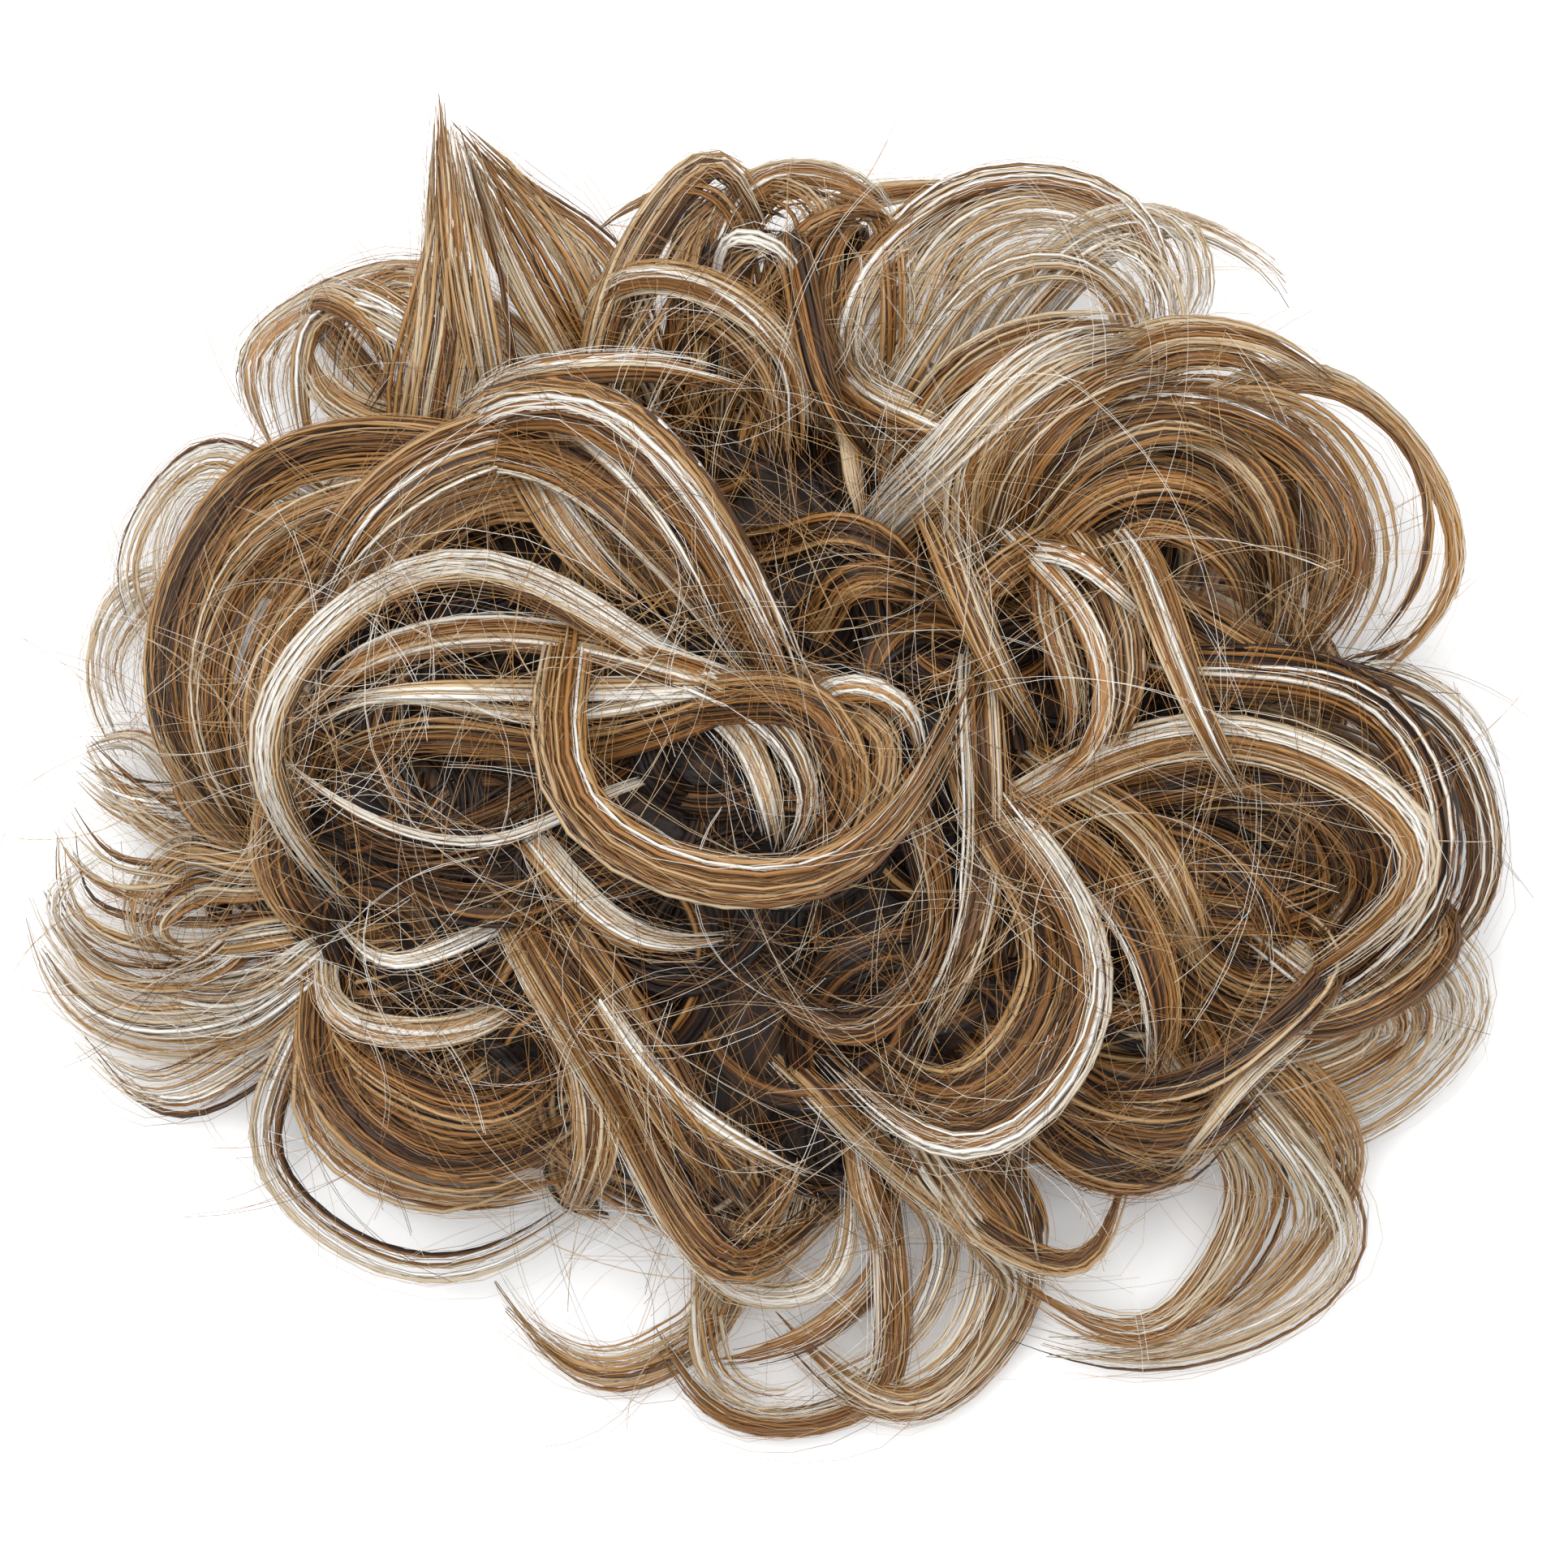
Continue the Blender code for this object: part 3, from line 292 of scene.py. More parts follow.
        "top_tip": (1040, 250, 1095, 232, 1150, 226, 1206, 220, 28, 26, 24, 3.4, "PSGP", 0.75, 0.4),
        "top_brown": (975, 300, 1010, 268, 1050, 255, 1100, 268, 34, 35, 30, 2.2, "GSG", 1.0, 0.5),
        "top_right": (1040, 270, 1010, 340, 1020, 420, 1080, 500, 32, 36, 34, 3.2, "SGDG"),
        "top_fill": (880, 390, 930, 430, 960, 490, 955, 570, 38, 40, 38, 4.0, "GSD"),
        "middle_upper": (985, 660, 1045, 652, 1105, 680, 1140, 730, 40, 44, 42, 3.6, "GSDGS"),
        "middle_lower": (1020, 750, 1050, 715, 1095, 712, 1155, 740, 42, 46, 44, 3.6, "GDSG"),
        "middle_deep": (1050, 550, 1055, 590, 1062, 620, 1066, 660, 40, 41, 41, 2.0, "SP", 1.0, 0.5),
    },
    "middle_curls": {
        "spine_top": (1155, 645, 1190, 730, 1235, 830, 1285, 915, 44, 50, 44, 3.2, "PGS", 1.0, 0.5),
        "spine_long": (1215, 905, 1218, 1030, 1195, 1170, 1125, 1295, 48, 46, 40, 4.2, "SPGDGW", 1.0, 0.5),
        "spine_ring": (1130, 1010, 1155, 1150, 1060, 1270, 910, 1165, 46, 44, 40, 3.8, "GSGPD"),
        "ring_lock": (704, 772, 715, 990, 1000, 1078, 1206, 825, 45, 57, 56, 5.2, "SWGGSGP", 1.0, 0.35, 0.25),
        "ring_under": (665, 1045, 715, 1105, 800, 1160, 910, 1158, 42, 43, 42, 2.8, "WPWS", 1.0, 0.5),
        "fan_white": (868, 841, 950, 890, 995, 970, 965, 1062, 50, 50, 44, 3.0, "WPDW", 1.0, 0.5, 0.4),
        "fan_grey": (868, 858, 915, 910, 945, 980, 958, 1048, 49, 48, 42, 3.0, "PPW", 1.0, 0.5, 0.4),
        "fan_gold": (885, 860, 1000, 870, 1048, 960, 990, 1057, 50, 52, 44, 5.0, "GSGGDG", 1.0, 0.5, 0.35),
        "fan_top": (995, 872, 1050, 845, 1110, 865, 1138, 940, 48, 52, 48, 2.4, "WWG", 1.0, 0.5, 0.4),
        "fan_right": (1045, 870, 1092, 915, 1085, 980, 1055, 1020, 48, 51, 44, 3.0, "SG", 1.0, 0.5),
    },
}


@dataclass(frozen=True)
class PictureReading:
    """How a place in the picture is turned into millimetres of the hairpiece."""

    middle_x: float = 937.0
    middle_y: float = 972.0
    frame_px: float = 1932.0
    margin: float = 1.011
    mm_per_px: float = 0.085
    view_distance: float = 900.0
    mid_height: float = 28.0

    def place(self, pixel_x: float, pixel_y: float, height: float) -> np.ndarray:
        """A picture place at a height.

        Args:
            pixel_x: Column in the picture.
            pixel_y: Row in the picture.
            height: Height over the floor in mm.

        Returns:
            X, Y and Z in mm.
        """
        nearer = 1 - (height - self.mid_height) / self.view_distance
        x = (pixel_x - self.middle_x) * self.mm_per_px * nearer
        y = (self.middle_y - pixel_y) * self.mm_per_px * nearer
        return np.array((x, y, height))


@dataclass(frozen=True)
class CushionForm:
    """Sizes of the cushion of gathered roots, hollow over the ring, in mm."""

    half_x: float = 56.0
    half_y: float = 42.0
    top: float = 39.0
    shoulder: float = 11.0
    foot: float = 1.0
    bore: float = 27.3
    hollow_edge: float = 12.0
    hollow_top: float = 21.0
    puff_depth: float = 0.05
    puff_count: int = 8
    root_sink: float = 4.0
    back_slope: float = 0.9
    most_back: float = 10.0
    root_reach: float = 0.86

    def height(self, x: float, y: float) -> float:
        """Height of the cushion's upper face over a place, or of its shoulder outside it."""
        reach = (x / self.half_x) ** 2 + (y / self.half_y) ** 2
        return self.shoulder + (self.top - self.shoulder) * math.sqrt(max(0.0, 1 - reach))

    def spot(self, reach: float, turn: float) -> np.ndarray:
        """The plan place at a share of the cushion's size and a turn round its middle."""
        return np.array((self.half_x * reach * math.cos(turn), self.half_y * reach * math.sin(turn)))

    def root_place(self, root: np.ndarray, heading: np.ndarray) -> np.ndarray:
        """The place inside the cushion that a lock grows from, behind and under its visible root.

        Args:
            root: The visible root in mm.
            heading: The way that the lock leaves its root.

        Returns:
            The hidden root in mm.
        """
        drop = max(0.0, root[2] - self.height(root[0], root[1])) + self.root_sink
        way = heading[:2] / np.linalg.norm(heading[:2])
        behind = root[:2] - way * min(self.most_back, drop * self.back_slope)
        reach = math.hypot(behind[0] / self.half_x, behind[1] / self.half_y)
        x, y = behind * min(1.0, self.root_reach / max(reach, 1e-6))
        return np.array((x, y, min(root[2], self.height(x, y)) - self.root_sink))


def smooth_path(places: np.ndarray, count: int) -> np.ndarray:
    """Natural cubic spline through places, spaced by their distances.

    Args:
        places: The places in order, one row each.
        count: How many points the path gets.

    Returns:
        The path's points, evenly spaced along it.
    """
    knots = np.concatenate(([0.0], np.cumsum(np.linalg.norm(np.diff(places, axis=0), axis=1))))
    gaps = np.diff(knots)
    size = len(places)
    system = np.eye(size)
    bend = np.zeros((size, 3))
    for index in range(1, size - 1):
        before, after = gaps[index - 1], gaps[index]
        system[index, index - 1:index + 2] = (before, 2 * (before + after), after)
        leaving = (places[index + 1] - places[index]) / after
        arriving = (places[index] - places[index - 1]) / before
        bend[index] = 6 * (leaving - arriving)
    curvature = np.linalg.solve(system, bend)
    distances = np.linspace(0.0, knots[-1], count)
    spans = np.clip(np.searchsorted(knots, distances, side="right") - 1, 0, size - 2)
    gap = gaps[spans][:, None]
    left = (knots[spans + 1] - distances)[:, None] / gap
    right = 1 - left
    straight = left * places[spans] + right * places[spans + 1]
    curve = (left**3 - left) * curvature[spans] + (right**3 - right) * curvature[spans + 1]
    return straight + curve * gap**2 / 6


def unit(rows: np.ndarray) -> np.ndarray:
    """The rows, each scaled to length 1."""
    return rows / np.linalg.norm(rows, axis=1)[:, None]


def circle(angles: np.ndarray) -> np.ndarray:
    """Places on the unit circle, one row for each angle."""
    return np.stack([np.cos(angles), np.sin(angles)], axis=1)


def frames_along(path: np.ndarray) -> tuple[np.ndarray, np.ndarray]:
    """Directions across the flat of a lock and out of it, at each point of its path.

    Args:
        path: The lock's middle line.

    Returns:
        Unit vectors across, to the right as seen from the root, and out of the cushion.
    """
    along = unit(np.gradient(path, axis=0))
    out = path - np.array((0.0, 0.0, FRAME_PIVOT_Z))
    out[:, :2] *= FRAME_SPREAD
    out = unit(out)
    across = np.cross(along, out)
    weight = np.linalg.norm(across, axis=1)
    for index in range(len(path) - 2, -1, -1):
        if np.dot(across[index], across[index + 1]) < 0:
            across[index] *= -1
        if weight[index] < LEAST_ACROSS:
            across[index] = across[index + 1] - along[index] * np.dot(across[index + 1], along[index])
    across = unit(across)
    return across, np.cross(across, along)


@dataclass
class Guide:
    """One line with its frame, sizes and tone, which a body or a bundle of hairs follows."""

    path: np.ndarray
    across: np.ndarray
    out: np.ndarray
    half_width: np.ndarray
    half_depth: np.ndarray
    tone: float
    hairs: int = 0

    def turning(self) -> float:
        """How far the line turns along its way, in radians."""
        steps = unit(np.diff(self.path, axis=0))
        turns = np.clip((steps[1:] * steps[:-1]).sum(axis=1), -1, 1)
        return float(np.arccos(turns).sum())

    def cut(self, start: float, end: float, count: int) -> "Guide":
        """The stretch between two shares of the line, with new evenly spaced points."""
        old = np.linspace(0, 1, len(self.path))
        new = np.linspace(start, end, count)

        def pick(values: np.ndarray) -> np.ndarray:
            """Values at the new places."""
            if values.ndim == 1:
                return np.interp(new, old, values)
            return np.stack([np.interp(new, old, column) for column in values.T], axis=1)

        return Guide(
            pick(self.path), pick(self.across), pick(self.out), pick(self.half_width), pick(self.half_depth),
            self.tone, self.hairs)


@dataclass
class Curl:
    """A curled lock: a middle line, its width there, its streaks from left to right and how dense it is."""

    path: np.ndarray
    width: np.ndarray
    streaks: str
    density: float = 1.0
    flatness: float = 0.45
    strip_mm: float = 0.36
    hairs_per_mm: float = 7.9
    # Offset of the whole lock's tone; the inner curls lower it to paint the shade of the depths.
    shade: float = 0.0
    sheer_below: float = 0.7
    core_width: float = 0.44
    core_depth: float = 0.85
    # Painted shade: the core is darker than its streaks so that the gaps between strands read as shaded.
    core_painted_shade: float = 0.32
    core_start: float = 0.06
    core_end: float = 0.22
    core_least: float = 0.05
    strip_points: tuple[int, ...] = (12, 14, 16, 19, 22, 25, 28)
    turn_per_step: float = 0.9
    strip_depth: float = 0.085
    strip_size: tuple[float, float] = (0.4, 0.95)
    strip_rise: tuple[float, float] = (0.8, 1.12)
    latest_start: float = 0.07
    earliest_end: float = 0.16
    strip_least: float = 0.12
    calm_share: float = 0.65
    calm_sway: float = 0.06
    loose_sway: float = 0.2
    furthest: float = 0.53
    streak_blend: float = 0.34
    tone_spread: float = 0.055
    edge_from: float = 0.3
    # Painted shade: strands darken towards the lock's edges, from edge_from of the width outwards.
    edge_painted_shade: float = 0.3
    hair_overlap: float = 1.5
    hair_depth: float = 0.16

    def crown(self, side: np.ndarray | float) -> np.ndarray | float:
        """Height of the lock's rounded face over its middle line at a place across it, as a share of the width."""
        return self.flatness * 0.5 * np.sqrt(np.maximum(0.0, 1 - (2 * side) ** 2))

    def line(self, frame: tuple[np.ndarray, np.ndarray], side: np.ndarray | float, lift: float) -> np.ndarray:
        """The lock's path moved across it and out of it, by shares of its width."""
        across, out = frame
        return self.path + across * (side * self.width)[:, None] + out * (lift * self.width)[:, None]

    def tone(self, side: float, rng: np.random.Generator) -> float:
        """Tone of a strand at a place across the lock, blended a little into the streaks beside it."""
        place = (side + 0.5) * len(self.streaks) + rng.normal(0, self.streak_blend)
        index = int(np.clip(place, 0, len(self.streaks) - 1))
        return Tone.level(self.streaks[index]) + rng.normal(0, self.tone_spread)

    def core(self) -> list[Guide]:
        """The lock's body under its strands, or none where the lock is sheer. Its tone is darker than its streaks:
        painted shade in the gaps between strands.
        """
        if self.density < self.sheer_below:
            return []
        across, out = frames_along(self.path)
        # Painted shade: the core's tone is dropped below its streaks' mean.
        tone = float(np.mean([Tone.level(letter) for letter in self.streaks])) - self.core_painted_shade
        share = np.linspace(0, 1, len(self.path))
        ends = np.clip(np.minimum(share / self.core_start, (1 - share) / self.core_end), self.core_least, 1)
        half = self.width * self.core_width * ends
        return [Guide(self.path, across, out, half, half * self.flatness * self.core_depth, tone)]

    def strips(self, rng: np.random.Generator) -> list[Guide]:
        """Fine flat strands over the rounded face of the lock.

        Args:
            rng: Source of the small differences between strands.

        Returns:
            One guide for each strand.
        """
        across, out = frames_along(self.path)
        share = np.linspace(0, 1, len(self.path))
        count = max(3, round(float(self.width.max()) / self.strip_mm * self.density))
        turning = Guide(self.path, across, out, self.width, self.width, 0.0).turning()
        points = self.strip_points[min(len(self.strip_points) - 1, int(turning / self.turn_per_step))]
        strips = []
        for index in range(count):
            side = (index + rng.uniform(0.1, 0.9)) / count - 0.5
            loose = self.calm_sway if rng.uniform() < self.calm_share else self.loose_sway
            sway = rng.normal(0, loose) * np.sin(share * math.pi * rng.uniform(0.8, 2.2) + rng.uniform(0, 3))
            place = np.clip(side + sway * (0.4 + share), -self.furthest, self.furthest)
            lift = self.crown(side) * rng.uniform(*self.strip_rise) + rng.normal(0, loose * 0.4)
            middle = self.line((across, out), place, lift)
            start = rng.uniform(0.0, self.latest_start)
            end = 1 - rng.uniform(0.0, 1.0) ** 2 * self.earliest_end
            ends = np.clip(np.minimum((share - start) / 0.08, (end - share) / 0.2), self.strip_least, 1)
            half = np.full(len(share), self.strip_mm * rng.uniform(*self.strip_size)) * ends
            # Painted shade: strands darken towards the lock's edges, and the lock's shade offset darkens the inner
            # curls.
            tone = self.tone(side, rng) + self.shade - self.edge_painted_shade * max(0.0, abs(side) - self.edge_from)
            strip = Guide(middle, across, out, half, np.full(len(share), self.strip_depth), tone)
            strips.append(strip.cut(start, end, points))
        return strips

    def bundles(self, rng: np.random.Generator) -> list[Guide]:
        """Lines for bundles of single hairs, one for each streak."""
        across, out = frames_along(self.path)
        streaks = self.streaks
        total = float(self.width.max()) * self.hairs_per_mm * (0.5 + 0.5 * self.density)
        bundles = []
        for index, letter in enumerate(streaks):
            side = (index + 0.5) / len(streaks) - 0.5
            middle = self.line((across, out), side, self.crown(side))
            half = self.width / (2 * len(streaks)) * self.hair_overlap
            depth = np.full(len(self.path), self.hair_depth)
            tone = Tone.level(letter) + rng.normal(0, 0.04) + self.shade
            hairs = max(2, round(total / len(streaks)))
            bundles.append(Guide(middle, across, out, half, depth, tone, hairs))
        return bundles


@dataclass(frozen=True)
class LockRow:
    """A curled lock from one row of the tables."""

    row: dict[str, float | str]
    reading: PictureReading
    cushion: CushionForm
    fullness: float = 1.07
    points: int = 36
    full_from: float = 0.3
    full_until: float = 0.6
    narrowing: float = 1.5

    def curl(self) -> Curl:
        """The lock from inside the cushion to its tip."""
        row = self.row
        heights = (row["root_h"], row["crest_h"], row["crest_h"], row["tip_h"])
        names = ("root", "rise", "fall", "tip")
        stations = [
            self.reading.place(row[f"{name}_x"], row[f"{name}_y"], height)
            for name, height in zip(names, heights)
        ]
        anchor = self.cushion.root_place(stations[0], stations[1] - stations[0])
        path = smooth_path(np.array([anchor] + stations), self.points)
        return Curl(path, self.width(np.linspace(0, 1, self.points)), row["streaks"], row["density"])

    def width(self, share: np.ndarray) -> np.ndarray:
        """Width at shares of the length: full in the middle, gathered or spread at its ends."""
        start = self.row["root_share"]
        rise = start + (1 - start) * np.minimum(1.0, share / self.full_from)
        late = np.clip((share - self.full_until) / (1 - self.full_until), 0, 1)
        fall = 1 - (1 - self.row["tip_share"]) * late**self.narrowing
        return self.row["width"] * self.fullness * rise * fall


@dataclass
class HeightField:
    """Height of the highest lock over each place, on a coarse grid."""

    cushion: CushionForm
    half_span: float = 90.0
    cell: float = 2.0
    window: int = 3
    smooth: int = 7
    heights: np.ndarray = field(init=False)

    def __post_init__(self) -> None:
        """Starts with the cushion alone."""
        places = np.arange(-self.half_span, self.half_span + self.cell, self.cell)
        self.heights = np.array([[self.cushion.height(x, y) for y in places] for x in places])

    def index(self, values: np.ndarray) -> np.ndarray:
        """Grid places of coordinates."""
        return np.clip(np.round((values + self.half_span) / self.cell), 0, len(self.heights) - 1).astype(int)

    def raise_by(self, curl: Curl) -> None:
        """Raises the field to a lock's face."""
        frame = frames_along(curl.path)
        for side in np.linspace(-0.45, 0.45, 5):
            face = curl.line(frame, side, curl.crown(side))
            np.maximum.at(self.heights, (self.index(face[:, 0]), self.index(face[:, 1])), face[:, 2])

    def over(self, plan: np.ndarray) -> np.ndarray:
        """Smoothed height along a line of plan places."""
        raw = self.heights[self.index(plan[:, 0]), self.index(plan[:, 1])]
        wide = np.pad(raw, self.window // 2, mode="edge")
        high = np.array([wide[place:place + self.window].max() for place in range(len(raw))])
        kernel = np.ones(self.smooth) / self.smooth
        return np.convolve(np.pad(high, self.smooth // 2, mode="edge"), kernel, mode="valid")


class Socket:
    """A shader value that can be added, scaled and compared with ordinary operators."""

    def __init__(self, board: "Board", socket: bpy.types.NodeSocket) -> None:
        """Wraps one output socket of a board."""
        self.board = board
        self.socket = socket

    def _math(self, operation: str, first: object, second: object) -> "Socket":
        """One Math node."""
        node = self.board.node("ShaderNodeMath", {"operation": operation}, {0: first, 1: second})
        return Socket(self.board, node.outputs[0])

    def __add__(self, other: object) -> "Socket":
        """Sum."""
        return self._math("ADD", self, other)

    def __radd__(self, other: object) -> "Socket":
        """Sum with the number first."""
        return self._math("ADD", other, self)

    def __sub__(self, other: object) -> "Socket":
        """Difference."""
        return self._math("SUBTRACT", self, other)

    def __rsub__(self, other: object) -> "Socket":
        """Difference with the number first."""
        return self._math("SUBTRACT", other, self)

    def __mul__(self, other: object) -> "Socket":
        """Product."""
        return self._math("MULTIPLY", self, other)

    def __rmul__(self, other: object) -> "Socket":
        """Product with the number first."""
        return self._math("MULTIPLY", other, self)


class Board:
    """A node tree with one method that adds any node."""

    def __init__(self, tree: bpy.types.NodeTree) -> None:
        """Takes the tree that the nodes go into."""
        self.tree = tree

    def node(self, kind: str, settings: dict | None = None, inputs: dict | None = None) -> bpy.types.Node:
        """Adds a node.

        Args:
            kind: The node's type name.
            settings: Properties to set, by name.
            inputs: Values or sockets for its inputs, by name or place.

        Returns:
            The new node.
        """
        node = self.tree.nodes.new(kind)
        for name, value in (settings or {}).items():
            setattr(node, name, value)
        self.feed(node, inputs or {})
        return node

    def feed(self, node: bpy.types.Node, inputs: dict) -> None:
        """Sets or links inputs of a node, by name or place."""
        for key, value in inputs.items():
            target = node.inputs[key] if isinstance(key, int) else self._named(node, key)
            if isinstance(value, Socket):
                value = value.socket
            if isinstance(value, bpy.types.NodeSocket):
                self.tree.links.new(value, target)
            else:
                target.default_value = value

    @staticmethod
    def _named(node: bpy.types.Node, name: str) -> bpy.types.NodeSocket:
        """The node's enabled input of that name."""
        return next(socket for socket in node.inputs if socket.name == name and socket.enabled)

    def value(self, kind: str, settings: dict | None = None, inputs: dict | None = None, out: int | str = 0) -> Socket:
        """Adds a node and wraps one of its outputs."""
        node = self.node(kind, settings, inputs)
        if isinstance(out, str):
            return Socket(self, next(s for s in node.outputs if s.name == out and s.enabled))
        return Socket(self, node.outputs[out])

    def noise(self, spot: Socket, scale: float, detail: float, out: str = "Fac") -> Socket:
        """A noise texture."""
        return self.value("ShaderNodeTexNoise", {}, {"Vector": spot, "Scale": scale, "Detail": detail}, out)

    def bump(self, height: Socket, strength: float, distance: float) -> Socket:
        """A bumped normal."""
        return self.value("ShaderNodeBump", {}, {"Strength": strength, "Distance": distance, "Height": height})


def new_material(name: str) -> tuple[bpy.types.Material, Board, bpy.types.Node]:
    """An empty node material with its board and its shader."""
    material = bpy.data.materials.new(name)
    material.use_nodes = True
    tree = material.node_tree
    return material, Board(tree), tree.nodes["Principled BSDF"]


def colour_ramp(board: Board, factor: Socket, stops: tuple[tuple[float, tuple[float, float, float]], ...]) -> Socket:
    """A colour ramp through the stops, each a place on the scale and a linear colour."""
    node = board.node("ShaderNodeValToRGB", {}, {0: factor})
    ramp = node.color_ramp
    while len(ramp.elements) < len(stops):
        ramp.elements.new(0.5)
    for element, (place, colour) in zip(ramp.elements, stops):
        element.position = place
        element.color = (*colour, 1.0)
    return Socket(board, node.outputs[0])


# Tone scale of the hair. The two lowest stops, near-black brown, give painted shade: D streaks, darkened inner curls,
# lock cores and the cushion.
HAIR_STOPS = (
    (0.0, (0.010, 0.004, 0.002)),
    (0.16, (0.056, 0.023, 0.007)),
    (0.34, (0.270, 0.114, 0.027)),
    (0.55, (0.408, 0.234, 0.090)),
    (0.76, (0.505, 0.392, 0.250)),
    (1.0, (0.770, 0.748, 0.700)),
)


@dataclass(frozen=True)
class StrandFinish:
    """Satin hair on a strand's body: streaks and fibre relief that run along it."""

    name: str = "hair_strand"
    slot: str = "hair"
    lanes_per_mm: float = 7.0
    fine_along: float = 0.03
    fine_spread: float = 0.52
    broad_spread: float = 0.36
    roughness: float = 0.36
    roughness_spread: float = 0.12
    specular: float = 0.35
    relief: float = 0.00022
    relief_strength: float = 0.8

    def build(self) -> bpy.types.Material:
        """Makes the material, which reads the strand's UV map and its tone attribute."""
        material, board, shader = new_material(self.name)
        tone = board.value("ShaderNodeAttribute", {"attribute_name": "tone"}, {}, "Fac")
        uv = board.value("ShaderNodeUVMap", {"uv_map": "strand"})
        lanes = board.value(
            "ShaderNodeMapping", {}, {"Vector": uv, "Scale": (self.lanes_per_mm, self.fine_along, 1.0)})
        fine = board.noise(lanes, 1.0, 3.0)
        broad_lanes = board.value(
            "ShaderNodeMapping", {}, {"Vector": uv, "Scale": (self.lanes_per_mm / 4, self.fine_along * 0.6, 1.0)})
        broad = board.noise(broad_lanes, 1.0, 1.0)
        place = tone + (fine - 0.5) * self.fine_spread + (broad - 0.5) * self.broad_spread
        colour = colour_ramp(board, place, HAIR_STOPS)
        board.feed(shader, {
            "Base Color": colour,
            "Roughness": self.roughness + fine * self.roughness_spread,
            "Normal": board.bump(fine, self.relief_strength, self.relief),
            "Specular IOR Level": self.specular,
        })
        return material


@dataclass(frozen=True)
class FibreFinish:
    """Single hairs: one tone each with slow changes along the hair."""

    name: str = "hair_fibre"
    roughness: float = 0.38
    roughness_spread: float = 0.1
    specular: float = 0.35
    changes_per_m: float = 90.0
    change: float = 0.16

    def build(self) -> bpy.types.Material:
        """Makes the material, which reads the hair's tone attribute and Object coordinates."""
        material, board, shader = new_material(self.name)
        tone = board.value("ShaderNodeAttribute", {"attribute_name": "tone"}, {}, "Fac")
        spot = board.value("ShaderNodeTexCoord", {}, {}, "Object")
        slow = board.noise(spot, self.changes_per_m, 1.0)
        board.feed(shader, {
            "Base Color": colour_ramp(board, tone + (slow - 0.5) * self.change, HAIR_STOPS),
            "Roughness": self.roughness + slow * self.roughness_spread,
            "Specular IOR Level": self.specular,
        })
        return material


@dataclass(frozen=True)
class RootFinish:
    """Matted hair of the cushion, seen only in the depths between locks and from below; its near-black colour is
    painted shade of those depths.
    """

    name: str = "hair_roots_painted_shade"
    grain: float = 520.0
    bend_scale: float = 38.0
    bend: float = 0.06
    # Near-black tone: painted shade of the depths.
    tone: float = 0.03
    tone_spread: float = 0.7
    relief: float = 0.0009
    roughness: float = 0.7

    def build(self) -> bpy.types.Material:
        """Makes the material on Object coordinates, stretched round the cushion."""
        material, board, shader = new_material(self.name)
        spot = board.value("ShaderNodeTexCoord", {}, {}, "Object")
        bent = board.noise(spot, self.bend_scale, 2.0, "Color")
        turned = board.node("ShaderNodeMix", {"data_type": "VECTOR"}, {"Factor": self.bend, 4: spot, 5: bent})
        lanes = board.value(
            "ShaderNodeMapping", {},
            {"Vector": turned.outputs[1], "Scale": (1.0, 0.12, 0.5), "Rotation": (0.2, 0.1, 0.7)})
        fine = board.noise(lanes, self.grain, 4.0)
        board.feed(shader, {
            "Base Color": colour_ramp(board, (fine - 0.5) * self.tone_spread + self.tone, HAIR_STOPS),
            "Normal": board.bump(fine, 1.0, self.relief),
            "Roughness": self.roughness,
        })
        return material


@dataclass(frozen=True)
class ElasticFinish:
    """Knitted cover of the elastic ring: fine ribs round the ring, matt dark brown."""

    name: str = "elastic_cover"
    ribs: float = 260.0
    knit: float = 1400.0
    rib_share: float = 0.6
    relief: float = 0.0003
    relief_strength: float = 0.7
    roughness: float = 0.85
    stops: tuple = ((0.2, (0.030, 0.016, 0.008)), (0.9, (0.105, 0.060, 0.030)))

    def build(self) -> bpy.types.Material:
        """Makes the material on Object coordinates."""
        material, board, shader = new_material(self.name)
        spot = board.value("ShaderNodeTexCoord", {}, {}, "Object")
        ribs = board.value(
            "ShaderNodeTexWave", {"wave_type": "RINGS", "rings_direction": "Z"},
            {"Vector": spot, "Scale": self.ribs, "Distortion": 1.5, "Detail": 2.0}, "Fac")
        shade = ribs * self.rib_share + board.noise(spot, self.knit, 2.0) * (1 - self.rib_share)
        board.feed(shader, {
            "Base Color": colour_ramp(board, shade, self.stops),
            "Normal": board.bump(shade, self.relief_strength, self.relief),
            "Roughness": self.roughness,
        })
        return material


@dataclass(frozen=True)
class FloorFinish:
    """Plain near-white floor."""

    name: str = "floor_paper"
    colour: tuple[float, float, float, float] = (0.93, 0.93, 0.93, 1.0)
    roughness: float = 0.9

    def build(self) -> bpy.types.Material:
        """Makes the floor's material."""
        material, board, shader = new_material(self.name)
        board.feed(shader, {"Base Color": self.colour, "Roughness": self.roughness})
        return material


def mesh_object(name: str, points: np.ndarray, faces: list, material: bpy.types.Material) -> bpy.types.Object:
    """A smooth-shaded mesh object at the origin.

    Args:
        name: The piece's name.
        points: Its points in metres.
        faces: Its faces as tuples of point indices, turned outwards.
        material: Its material.

    Returns:
        The object, linked to the scene.
    """
    mesh = bpy.data.meshes.new(name)
    mesh.from_pydata(points.tolist(), [], faces)
    mesh.materials.append(material)
    mesh.polygons.foreach_set("use_smooth", np.ones(len(mesh.polygons), dtype=bool))
    obj = bpy.data.objects.new(name, mesh)
    bpy.context.scene.collection.objects.link(obj)
    return obj


